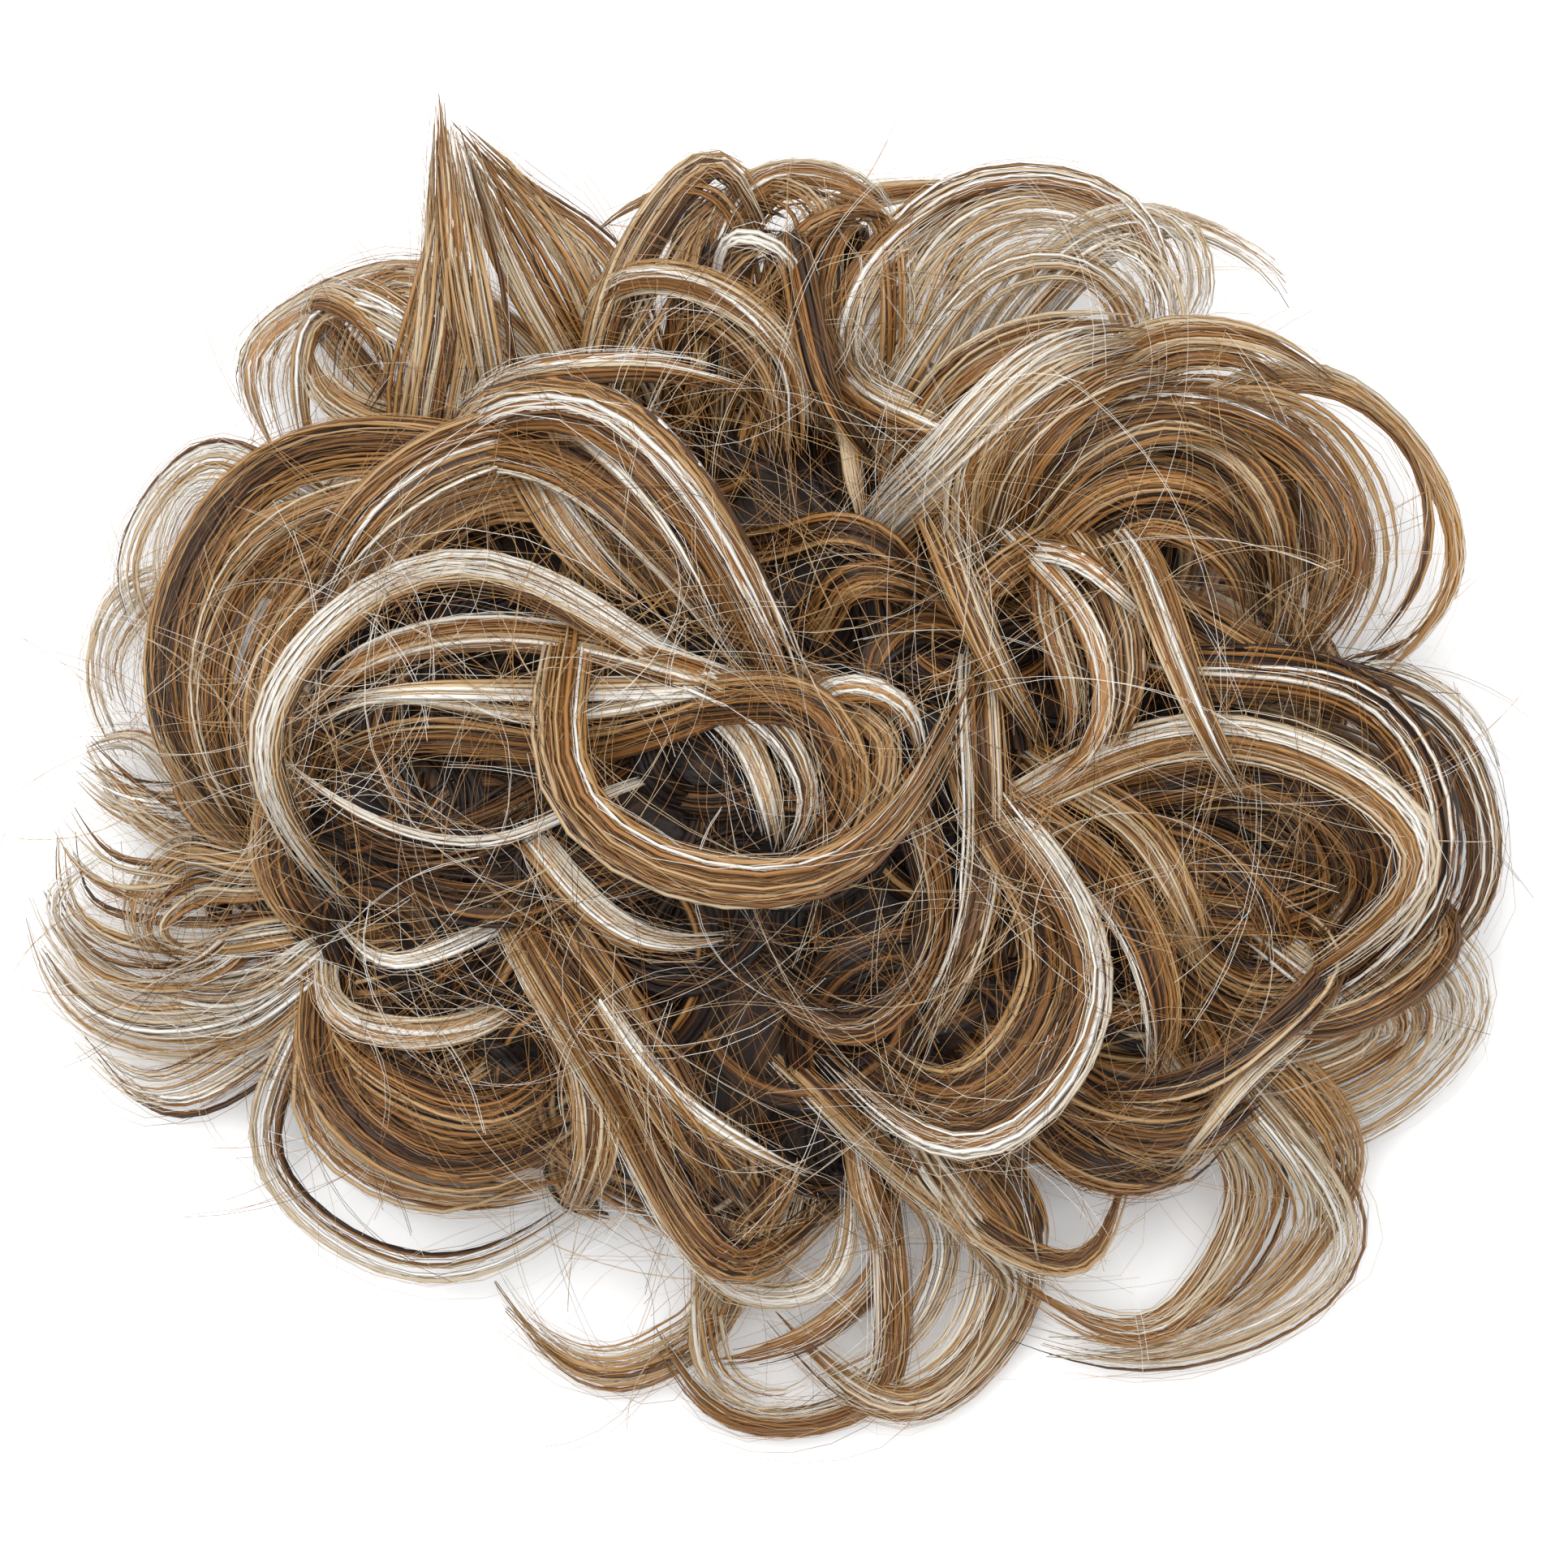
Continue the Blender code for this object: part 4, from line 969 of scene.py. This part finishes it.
@dataclass
class RootCushion:
    """The cushion of gathered roots that the locks grow from."""

    form: CushionForm
    segments: int = 96
    rise_steps: int = 18
    ruffle: float = 0.7
    foot_share: float = 0.86
    wall_share: float = 0.98
    ceiling_shares: tuple[float, float] = (0.35, 0.75)
    ceiling_drop: float = 0.6
    ceiling_bulge: float = 1.5
    seed: int = 7

    def rings(self) -> list[tuple[float | None, float | None, float]]:
        """Rings as (share of the full size, own radius, height), from the hollow's ceiling round to the top."""
        form = self.form
        near, far = self.ceiling_shares
        rings: list[tuple[float | None, float | None, float]] = [
            (None, form.bore * near, form.hollow_top - self.ceiling_drop),
            (None, form.bore * far, (form.hollow_top + form.hollow_edge) / 2 + self.ceiling_bulge),
            (None, form.bore, form.hollow_edge),
            (None, form.bore, form.foot),
            (self.foot_share, None, form.foot),
            (self.wall_share, None, form.shoulder * 0.5),
            (1.0, None, form.shoulder),
        ]
        for step in range(1, self.rise_steps):
            turn = math.pi / 2 * step / self.rise_steps
            height = form.shoulder + (form.top - form.shoulder) * math.sin(turn)
            rings.append((math.cos(turn), None, height))
        return rings

    def build(self, material: bpy.types.Material, shift: np.ndarray) -> bpy.types.Object:
        """Builds the cushion as one closed mesh."""
        form = self.form
        rng = np.random.default_rng(self.seed)
        angles = 2 * np.pi * np.arange(self.segments) / self.segments
        points = []
        for share, radius, height in self.rings():
            puff = 1 + form.puff_depth * np.cos(form.puff_count * angles)
            half_x = radius if share is None else share * puff * form.half_x
            half_y = radius if share is None else share * puff * form.half_y
            level = np.full(self.segments, height)
            ring = np.stack([half_x * np.cos(angles), half_y * np.sin(angles), level], axis=1)
            if share is not None and height > form.foot:
                ring[:, 2] -= rng.uniform(0, self.ruffle, self.segments)
            points.append(ring)
        count = self.segments
        faces = []
        for lower in range(len(points) - 1):
            for index in range(count):
                after = (index + 1) % count
                faces.append((
                    lower * count + index, lower * count + after,
                    (lower + 1) * count + after, (lower + 1) * count + index))
        ceiling = len(points) * count
        top = (len(points) - 1) * count
        for index in range(count):
            after = (index + 1) % count
            faces.append((ceiling, after, index))
            faces.append((ceiling + 1, top + index, top + after))
        poles = np.array(((0.0, 0.0, form.hollow_top), (0.0, 0.0, form.top)))
        places = (np.concatenate(points + [poles]) + shift) * MM
        return mesh_object("root_cushion", places, faces, material)


@dataclass
class StrandBodies:
    """Closed bodies lofted round guides, many to a mesh, with a UV map along each."""

    material: bpy.types.Material
    core_sides: int = 8
    strip_sides: int = 3
    strip_foot: float = -0.4
    uv_step: float = 7.31
    girth: float = 4.4

    def profile(self, sides: int) -> np.ndarray:
        """The outline of a strand's section: across and out, in turn from across to out."""
        if sides == self.strip_sides:
            return np.array(((1.0, self.strip_foot), (0.0, 1.0), (-1.0, self.strip_foot)))
        return circle(2 * np.pi * np.arange(sides) / sides)

    def loft(self, guides: list[Guide], sides: int, start: int) -> tuple[np.ndarray, list, np.ndarray, np.ndarray]:
        """Lofts guides of one length.

        Args:
            guides: The strands, each with the same count of points.
            sides: Sides of the section.
            start: How many points the mesh has already.

        Returns:
            Points, faces, UV places of the face corners and the points' tones.
        """
        profile = self.profile(sides)
        paths = np.stack([guide.path for guide in guides])
        wide = np.stack([guide.across * guide.half_width[:, None] for guide in guides])
        deep = np.stack([guide.out * guide.half_depth[:, None] for guide in guides])
        points = paths[:, :, None] + wide[:, :, None] * profile[:, 0, None] + deep[:, :, None] * profile[:, 1, None]
        total, count = paths.shape[:2]
        grid = start + np.arange(total * count * sides).reshape(total, count, sides)
        after = np.roll(grid, -1, axis=2)
        quads = np.stack([grid[:, :-1], grid[:, 1:], after[:, 1:], after[:, :-1]], axis=-1)
        steps = np.linalg.norm(np.diff(paths, axis=1), axis=2)
        length = np.concatenate([np.zeros((total, 1)), np.cumsum(steps, axis=1)], axis=1)
        girth = self.girth * np.array([guide.half_width.max() for guide in guides])[:, None]
        u = np.arange(total)[:, None] * self.uv_step + np.arange(sides + 1)[None] / sides * girth
        left = np.broadcast_to(u[:, None, :-1], (total, count - 1, sides))
        right = np.broadcast_to(u[:, None, 1:], (total, count - 1, sides))
        lower = np.broadcast_to(length[:, :-1, None], left.shape)
        upper = np.broadcast_to(length[:, 1:, None], left.shape)
        corners = np.stack([left, lower, left, upper, right, upper, right, lower], axis=-1).reshape(-1, 2)
        caps = grid[:, 0].tolist() + grid[:, -1, ::-1].tolist()
        cap_corners = np.concatenate([
            np.stack([np.repeat(u[:, 0], sides), np.zeros(total * sides)], axis=1),
            np.stack([np.repeat(u[:, 0], sides), np.repeat(length[:, -1], sides)], axis=1),
        ])
        tones = np.repeat([guide.tone for guide in guides], count * sides)
        faces = quads.reshape(-1, 4).tolist() + caps
        return points.reshape(-1, 3), faces, np.concatenate([corners, cap_corners]), tones

    def build(self, name: str, curls: list[Curl], rng: np.random.Generator, shift: np.ndarray) -> bpy.types.Object:
        """Makes the cores and strips of some locks as one piece.

        Args:
            name: The piece's name.
            curls: The locks.
            rng: Source of the differences between strands.
            shift: Where the hairpiece's middle lies in the frame, in mm.

        Returns:
            The piece.
        """
        cores = [guide for curl in curls for guide in curl.core()]
        strips = [guide for curl in curls for guide in curl.strips(rng)]
        groups = [(cores, self.core_sides)] if cores else []
        for count in sorted({len(guide.path) for guide in strips}):
            groups.append(([guide for guide in strips if len(guide.path) == count], self.strip_sides))
        lofts = []
        start = 0
        for guides, sides in groups:
            lofts.append(self.loft(guides, sides, start))
            start += len(lofts[-1][0])
        points, corners, tones = (np.concatenate([loft[place] for loft in lofts]) for place in (0, 2, 3))
        faces = [face for loft in lofts for face in loft[1]]
        obj = mesh_object(name, (points + shift) * MM, faces, self.material)
        obj.data.uv_layers.new(name="strand").data.foreach_set("uv", corners.ravel())
        obj.data.attributes.new("tone", "FLOAT", "POINT").data.foreach_set("value", tones)
        return obj


@dataclass
class HairNodes:
    """Geometry Nodes that turn guide lines into bundles of single hairs."""

    material: bpy.types.Material
    radius: float = 0.045 * MM
    sides: int = 3
    waves: float = 1.9
    wild_gain: float = 2.4
    calm_gain: float = 0.3
    root_gain: float = 0.2
    wander: float = 4.0
    tone_spread: float = 0.2
    taper: float = 0.6
    points_per_turn: float = 2.6
    points_at_rest: float = 4.5
    most_points: int = 17
    tree: bpy.types.NodeTree | None = field(default=None, init=False)

    INPUTS = (
        ("Amount", "NodeSocketFloat", 1.0),
        ("Radius", "NodeSocketFloat", 0.00005),
        ("Spread", "NodeSocketFloat", 1.3),
        ("Stray", "NodeSocketFloat", 0.001),
        ("Seed", "NodeSocketInt", 1),
    )
    LIKENESS = (
        ("side", -1.0, 1.0), ("depth", -0.6, 1.6), ("phase", 0.0, 100.0), ("wild", 0.0, 1.0),
        ("shade", -1.0, 1.0), ("length", 0.82, 1.0), ("start", 0.0, 0.07),
    )

    def make_tree(self) -> bpy.types.NodeTree:
        """Builds the node tree once."""
        tree = bpy.data.node_groups.new("hair_bundle", "GeometryNodeTree")
        tree.interface.new_socket("Geometry", in_out="INPUT", socket_type="NodeSocketGeometry")
        for name, kind, value in self.INPUTS:
            tree.interface.new_socket(name, in_out="INPUT", socket_type=kind).default_value = value
        tree.interface.new_socket("Material", in_out="INPUT", socket_type="NodeSocketMaterial")
        tree.interface.new_socket("Geometry", in_out="OUTPUT", socket_type="NodeSocketGeometry")
        board = Board(tree)
        entry = board.node("NodeGroupInput").outputs

        def read(name: str, kind: str = "FLOAT") -> Socket:
            """A named attribute of the guides."""
            return board.value("GeometryNodeInputNamedAttribute", {"data_type": kind}, {"Name": name}, "Attribute")

        def vector(operation: str, inputs: dict) -> Socket:
            """One Vector Math node."""
            return board.value("ShaderNodeVectorMath", {"operation": operation}, inputs)

        hairs = board.value("GeometryNodeMeshToCurve", {}, {"Mesh": entry["Geometry"]})
        amount = read("hairs") * Socket(board, entry["Amount"]) + 0.5
        hairs = board.value(
            "GeometryNodeDuplicateElements", {"domain": "SPLINE"}, {"Geometry": hairs, "Amount": amount})
        for place, (name, low, high) in enumerate(self.LIKENESS):
            number = board.value(
                "FunctionNodeRandomValue", {"data_type": "FLOAT"},
                {"Min": low, "Max": high, "Seed": Socket(board, entry["Seed"]) + place * 11}, "Value")
            hairs = board.value(
                "GeometryNodeStoreNamedAttribute", {"data_type": "FLOAT", "domain": "CURVE"},
                {"Geometry": hairs, "Name": name, "Value": number})
        share = read("share")
        side = read("side") * Socket(board, entry["Spread"]) * read("half_width")
        spot = board.value("ShaderNodeCombineXYZ", {}, {"X": share * self.waves, "Y": read("phase")})
        noise = board.value(
            "ShaderNodeTexNoise", {"noise_dimensions": "3D"}, {"Vector": spot, "Scale": 1.0, "Detail": 0.0}, "Color")
        wild = read("wild")
        reach = (wild * wild * wild * self.wild_gain + self.calm_gain) * Socket(board, entry["Stray"])
        reach = reach * (share + self.root_gain) * self.wander
        offset = vector("ADD", {
            0: vector("SCALE", {0: read("across", "FLOAT_VECTOR"), "Scale": side}),
            1: vector("SCALE", {0: read("out", "FLOAT_VECTOR"), "Scale": read("depth") * read("half_depth")}),
        })
        wander = vector("SCALE", {0: vector("SUBTRACT", {0: noise, 1: (0.5, 0.5, 0.5)}), "Scale": reach})
        offset = vector("ADD", {0: offset, 1: wander})
        hairs = board.value("GeometryNodeSetPosition", {}, {"Geometry": hairs, "Offset": offset})
        hairs = board.value(
            "GeometryNodeTrimCurve", {"mode": "FACTOR"},
            {"Curve": hairs, "Start": read("start"), "End": read("length")})
        hairs = board.value("GeometryNodeResampleCurve", {"mode": "COUNT"}, {"Curve": hairs, "Count": read("points")})
        along = board.value("GeometryNodeSplineParameter", {}, {}, "Factor")
        ring = board.value(
            "GeometryNodeCurvePrimitiveCircle", {"mode": "RADIUS"},
            {"Resolution": self.sides, "Radius": entry["Radius"]})
        hairs = board.value(
            "GeometryNodeStoreNamedAttribute", {"data_type": "FLOAT", "domain": "POINT"},
            {"Geometry": hairs, "Name": "tone", "Value": read("tone") + read("shade") * self.tone_spread})
        mesh = board.value(
            "GeometryNodeCurveToMesh", {},
            {"Curve": hairs, "Profile Curve": ring, "Scale": 1.0 - along * along * self.taper, "Fill Caps": True})
        mesh = board.value("GeometryNodeSetShadeSmooth", {}, {"Geometry": mesh, "Shade Smooth": True})
        mesh = board.value("GeometryNodeRealizeInstances", {}, {"Geometry": mesh})
        mesh = board.value("GeometryNodeSetMaterial", {}, {"Geometry": mesh, "Material": entry["Material"]})
        board.node("NodeGroupOutput", {}, {"Geometry": mesh})
        return tree

    def build(
        self, name: str, guides: list[Guide], shift: np.ndarray, least_points: int = 7, **inputs: float
    ) -> bpy.types.Object:
        """Grows hairs along guides.

        Args:
            name: The piece's name.
            guides: The lines that the hairs follow.
            shift: Where the hairpiece's middle lies in the frame, in mm.
            least_points: Fewest points along a hair.
            inputs: Values for the tree's named inputs.

        Returns:
            The hairs as one plain mesh.
        """
        if self.tree is None:
            self.tree = self.make_tree()
        mesh = bpy.data.meshes.new(name + "_guides")
        starts = np.concatenate(([0], np.cumsum([len(guide.path) for guide in guides])))
        edges = [(first, first + 1) for begin, end in zip(starts, starts[1:]) for first in range(begin, end - 1)]
        points = (np.concatenate([guide.path for guide in guides]) + shift) * MM
        mesh.from_pydata(points.tolist(), edges, [])
        counts = [guide.turning() * self.points_per_turn + self.points_at_rest for guide in guides]
        columns = {
            "share": [np.linspace(0, 1, len(g.path)) for g in guides],
            "half_width": [g.half_width * MM for g in guides],
            "half_depth": [g.half_depth * MM for g in guides],
            "tone": [np.full(len(g.path), g.tone) for g in guides],
            "hairs": [np.full(len(g.path), g.hairs) for g in guides],
            "points": [
                np.full(len(g.path), np.clip(count, least_points, self.most_points))
                for g, count in zip(guides, counts)],
            "across": [g.across for g in guides],
            "out": [g.out for g in guides],
        }
        for column, values in columns.items():
            numbers = np.concatenate(values).astype(np.float32)
            flat = numbers.ndim == 1
            attribute = mesh.attributes.new(column, "FLOAT" if flat else "FLOAT_VECTOR", "POINT")
            attribute.data.foreach_set("value" if flat else "vector", numbers.ravel())
        source = bpy.data.objects.new(name + "_guides", mesh)
        bpy.context.scene.collection.objects.link(source)
        modifier = source.modifiers.new("hairs", "NODES")
        modifier.node_group = self.tree
        values = {"Radius": self.radius, "Material": self.material, **inputs}
        for item in self.tree.interface.items_tree:
            if item.in_out == "INPUT" and item.name in values:
                modifier[item.identifier] = values[item.name]
        bpy.context.view_layer.update()
        graph = bpy.context.evaluated_depsgraph_get()
        grown = bpy.data.meshes.new_from_object(source.evaluated_get(graph))
        source.modifiers.clear()
        bpy.data.objects.remove(source, do_unlink=True)
        spare = {*columns, *(entry[0] for entry in self.LIKENESS)} - {"tone"}
        for column in [a.name for a in grown.attributes if a.name in spare]:
            grown.attributes.remove(grown.attributes[column])
        grown.name = name
        obj = bpy.data.objects.new(name, grown)
        bpy.context.scene.collection.objects.link(obj)
        return obj


@dataclass
class CurlLobe:
    """One lobe of the hairpiece: its locks as strand bodies and as single hairs."""

    name: str
    curls: list[Curl]
    seed: int
    stray: float = LOCK_STRAY

    def build(self, bodies: StrandBodies, nodes: HairNodes, shift: np.ndarray) -> list[bpy.types.Object]:
        """Builds the lobe's bodies and hairs."""
        rng = np.random.default_rng(self.seed)
        bundles = [guide for curl in self.curls for guide in curl.bundles(rng)]
        return [
            bodies.build(self.name, self.curls, rng, shift),
            nodes.build(self.name + "_hairs", bundles, shift, Spread=1.25, Stray=self.stray * MM, Seed=self.seed),
        ]


@dataclass
class InnerCurls:
    """Curls that lie on the cushion and show in the hollows between the locks."""

    form: CushionForm
    count: int = 84
    seed: int = 23
    steps: int = 24
    radius: tuple[float, float] = (5, 12)
    turn: tuple[float, float] = (2.4, 4.4)
    lift: tuple[float, float] = (-0.5, 1.5)
    arch: float = 3.2
    width: tuple[float, float] = (3.0, 5.0)
    outermost: float = 0.98
    smooth: int = 7
    streaks: tuple[str, ...] = ("GSDG", "DGSD", "SGPS", "GDGS", "SPGS", "DGDG", "GSWG")

    def curls(self) -> list[Curl]:
        """Bent curls spread evenly over the cushion."""
        rng = np.random.default_rng(self.seed)
        curls = []
        for index in range(self.count):
            far = self.outermost * math.sqrt((index + 0.5) / self.count)
            turn = index * math.pi * (3 - math.sqrt(5))
            centre = self.form.spot(far, turn)
            radius = rng.uniform(*self.radius)
            span = rng.uniform(*self.turn) * rng.choice((-1, 1))
            share = np.linspace(0, 1, self.steps)
            bend = rng.uniform(0, 2 * math.pi) + span * share
            grow = (radius * (0.75 + 0.5 * share))[:, None]
            plan = centre + grow * circle(bend)
            lift = rng.uniform(*self.lift) + self.arch * np.sin(share * math.pi)
            heights = np.pad([self.form.height(x, y) for x, y in plan], self.smooth // 2, mode="edge")
            smooth = np.convolve(heights, np.ones(self.smooth) / self.smooth, mode="valid")
            path = np.column_stack([plan, smooth + lift])
            width = rng.uniform(*self.width) * (0.6 + 0.4 * np.sin(share * math.pi))
            streaks = self.streaks[index % len(self.streaks)]
            # shade=-0.5 is painted shade: the curls deep between the locks are coloured darker.
            curls.append(Curl(path, width, streaks, density=0.8, strip_mm=0.55, hairs_per_mm=3.4, shade=-0.5))
        return curls


@dataclass
class SkirtCurls:
    """Curls that hang down the cushion's side, so that it looks like hair from low angles too."""

    form: CushionForm
    count: int = 42
    seed: int = 57
    steps: int = 24
    sweep: tuple[float, float] = (0.2, 0.6)
    start_height: tuple[float, float] = (26, 31)
    end_height: tuple[float, float] = (2.4, 6.0)
    lift: float = 1.6
    arch: tuple[float, float] = (0.2, 1.6)
    width: tuple[float, float] = (5.0, 7.0)
    streaks: tuple[str, ...] = ("GDGS", "SGSD", "SGDP", "GSDG", "PGDS")

    def curls(self) -> list[Curl]:
        """Bent curls side by side round the cushion's wall."""
        form = self.form
        rng = np.random.default_rng(self.seed)
        share = np.linspace(0, 1, self.steps)
        curls = []
        for index in range(self.count):
            start = 2 * math.pi * (index + rng.uniform(-0.3, 0.3)) / self.count
            turn = start + rng.uniform(*self.sweep) * rng.choice((-1, 1)) * share**1.4
            heights = rng.uniform(*self.start_height) * (1 - share) + rng.uniform(*self.end_height) * share
            over = np.clip((heights - form.shoulder) / (form.top - form.shoulder), 0, 1)
            reach = np.sqrt(1 - over**2) * (1 + form.puff_depth * np.cos(form.puff_count * turn))
            lift = self.lift + rng.uniform(*self.arch) * np.sin(share * math.pi)
            x, y = (form.half_x * reach + lift) * np.cos(turn), (form.half_y * reach + lift) * np.sin(turn)
            width = rng.uniform(*self.width) * (0.7 + 0.3 * np.sin(share * math.pi))
            streaks = self.streaks[index % len(self.streaks)]
            path = np.column_stack([x, y, heights])
            curls.append(Curl(path, width, streaks, density=0.8, strip_mm=0.66, hairs_per_mm=1.8, shade=0.06))
        return curls


@dataclass
class LooseHairs:
    """Fine hairs that cross over the locks and stray past the rim."""

    field: HeightField
    form: CushionForm
    seed: int = 41
    crossing: int = 330
    rim: int = 70
    steps: int = 20
    radius: tuple[float, float] = (11, 48)
    length: tuple[float, float] = (26, 76)
    most_turn: float = 3.4
    above: tuple[float, float] = (0.0, 1.6)
    spread: tuple[float, float] = (0.3, 2.5)
    depth: float = 0.3
    hairs: int = 2
    least_points: int = 15
    most_x: float = 84.0
    most_y: float = 75.0
    tones: tuple[float, ...] = (0.25, 0.35, 0.5, 0.6, 0.75, 0.95)

    def arc(self, rng: np.random.Generator, nearest: float, farthest: float) -> Guide:
        """One random bent line over the locks.

        Args:
            rng: Source of its place and bend.
            nearest: Least distance of its middle from the centre, as a share of the cushion.
            farthest: Most distance.

        Returns:
            The line as a guide for a few hairs.
        """
        turn = rng.uniform(0, 2 * math.pi)
        far = math.sqrt(rng.uniform(nearest**2, farthest**2))
        start = self.form.spot(far, turn)
        radius = rng.uniform(*self.radius)
        span = min(self.most_turn, rng.uniform(*self.length) / radius) * rng.choice((-1, 1))
        share = np.linspace(0, 1, self.steps)
        bend = rng.uniform(0, 2 * math.pi) + span * share
        arc = (radius * (1 + rng.uniform(-0.3, 0.3) * share))[:, None] * circle(bend)
        plan = start + arc - arc[len(share) // 2]
        plan /= max(1.0, np.hypot(plan[:, 0] / self.most_x, plan[:, 1] / self.most_y).max())
        heights = self.field.over(plan) + rng.uniform(*self.above)
        path = np.column_stack([plan, heights])
        heading = unit(np.gradient(plan, axis=0))
        across = np.column_stack([heading[:, 1], -heading[:, 0], np.zeros(len(share))])
        out = np.tile((0.0, 0.0, 1.0), (len(share), 1))
        half = rng.uniform(*self.spread) * (0.4 + share)
        depth = np.full(len(share), self.depth)
        return Guide(path, across, out, half, depth, float(rng.choice(self.tones)), self.hairs)

    def build(self, nodes: HairNodes, shift: np.ndarray) -> list[bpy.types.Object]:
        """Builds the crossing hairs and the strays at the rim."""
        rng = np.random.default_rng(self.seed)
        groups = (
            ("crossing_hairs", [self.arc(rng, 0.0, 1.12) for _ in range(self.crossing)], 92, 0.036),
            ("rim_hairs", [self.arc(rng, 1.1, 1.34) for _ in range(self.rim)], 93, 0.034),
        )
        return [
            nodes.build(name, arcs, shift, self.least_points, Spread=1.0, Stray=MM, Seed=seed, Radius=radius * MM)
            for name, arcs, seed, radius in groups
        ]


@dataclass(frozen=True)
class Studio:
    """Floor, lights and the camera straight above the hairpiece."""

    reading: PictureReading
    sensor: float = 36.0
    floor_half: float = 1.6
    air: float = 0.62
    lamps: tuple[tuple[str, tuple[float, float, float], float, float], ...] = (
        ("overhead_softbox", (-0.10, 0.18, 1.35), 0.7, 18.0),
        ("key_softbox", (-0.55, 0.75, 0.95), 0.4, 6.0),
        ("side_softbox", (0.9, -0.1, 0.8), 0.5, 2.5),
    )

    def build(self, shift: np.ndarray) -> None:
        """Sets up the stage."""
        scene = bpy.context.scene
        half = self.floor_half
        corners = np.array(((-half, -half, 0.0), (half, -half, 0.0), (half, half, 0.0), (-half, half, 0.0)))
        floor = mesh_object("floor", corners, [(0, 1, 2, 3)], FloorFinish().build())
        world = bpy.data.worlds.new("studio_air")
        world.use_nodes = True
        world.node_tree.nodes["Background"].inputs["Color"].default_value = (1.0, 1.0, 1.0, 1.0)
        world.node_tree.nodes["Background"].inputs["Strength"].default_value = self.air
        scene.world = world
        scene.view_settings.view_transform = "Standard"
        for name, place, size, power in self.lamps:
            self.lamp(name, place, size, power)
        reading = self.reading
        lens_data = bpy.data.cameras.new("camera")
        frame_mm = reading.frame_px * reading.mm_per_px * reading.margin
        lens_data.sensor_width = self.sensor
        lens_data.lens = self.sensor * reading.view_distance / frame_mm
        lens_data.clip_start = 0.01
        camera = bpy.data.objects.new("camera", lens_data)
        middle = reading.frame_px / 2
        x, y, _ = reading.place(middle, middle, reading.mid_height) + shift
        camera.location = (x * MM, y * MM, (reading.view_distance + reading.mid_height) * MM)
        scene.collection.objects.link(camera)
        scene.camera = camera

    @staticmethod
    def lamp(name: str, place: tuple[float, float, float], size: float, power: float) -> None:
        """A square softbox that points at the hairpiece."""
        data = bpy.data.lights.new(name, "AREA")
        data.size = size
        data.energy = power
        lamp = bpy.data.objects.new(name, data)
        lamp.location = place
        lamp.rotation_euler = (-Vector(place)).to_track_quat("-Z", "Y").to_euler()
        bpy.context.scene.collection.objects.link(lamp)


def triangles(obj: bpy.types.Object) -> int:
    """How many triangles a mesh object has."""
    return sum(len(polygon.vertices) - 2 for polygon in obj.data.polygons)


def main() -> None:
    """Builds the hairpiece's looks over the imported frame."""
    logging.basicConfig(level=logging.INFO, format="%(message)s")
    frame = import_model()
    low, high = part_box("elastic_ring")
    shift = np.array(((low[0] + high[0]) / 2, (low[1] + high[1]) / 2, 0.0)) / MM
    reading = PictureReading()
    form = CushionForm()

    ring = frame["nodes"]["elastic_ring"]
    for slot in ring.material_slots:
        slot.material = ElasticFinish().build()
    strand_finish = StrandFinish()
    bodies = StrandBodies(strand_finish.build())
    nodes = HairNodes(FibreFinish().build())

    cushion = RootCushion(form).build(RootFinish().build(), shift)
    pieces = [cushion]
    cover = HeightField(form)
    lobes = {
        name: [LockRow(USUAL_LOCK | dict(zip(LOCK_COLUMNS, row)), reading, form).curl() for row in rows.values()]
        for name, rows in LOBES.items()
    }
    inner = InnerCurls(form).curls()
    lobes["inner_curls"] = inner[::2]
    lobes["inner_curls_low"] = inner[1::2]
    lobes["inner_skirt"] = SkirtCurls(form).curls()
    for seed, (name, curls) in enumerate(lobes.items(), FIRST_SEED):
        for curl in curls:
            cover.raise_by(curl)
        stray = INNER_STRAY if name.startswith("inner") else LOCK_STRAY
        pieces += CurlLobe(name, curls, seed, stray).build(bodies, nodes, shift)
    pieces += LooseHairs(cover, form).build(nodes, shift)
    for piece in pieces:
        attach(piece, BODY)
        LOG.info("%s: %d triangles", piece.name, triangles(piece))
    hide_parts("hair_curls")
    LOG.info("all pieces: %d triangles", sum(triangles(piece) for piece in pieces))
    Studio(reading).build(shift)


if __name__ == "__main__":
    main()
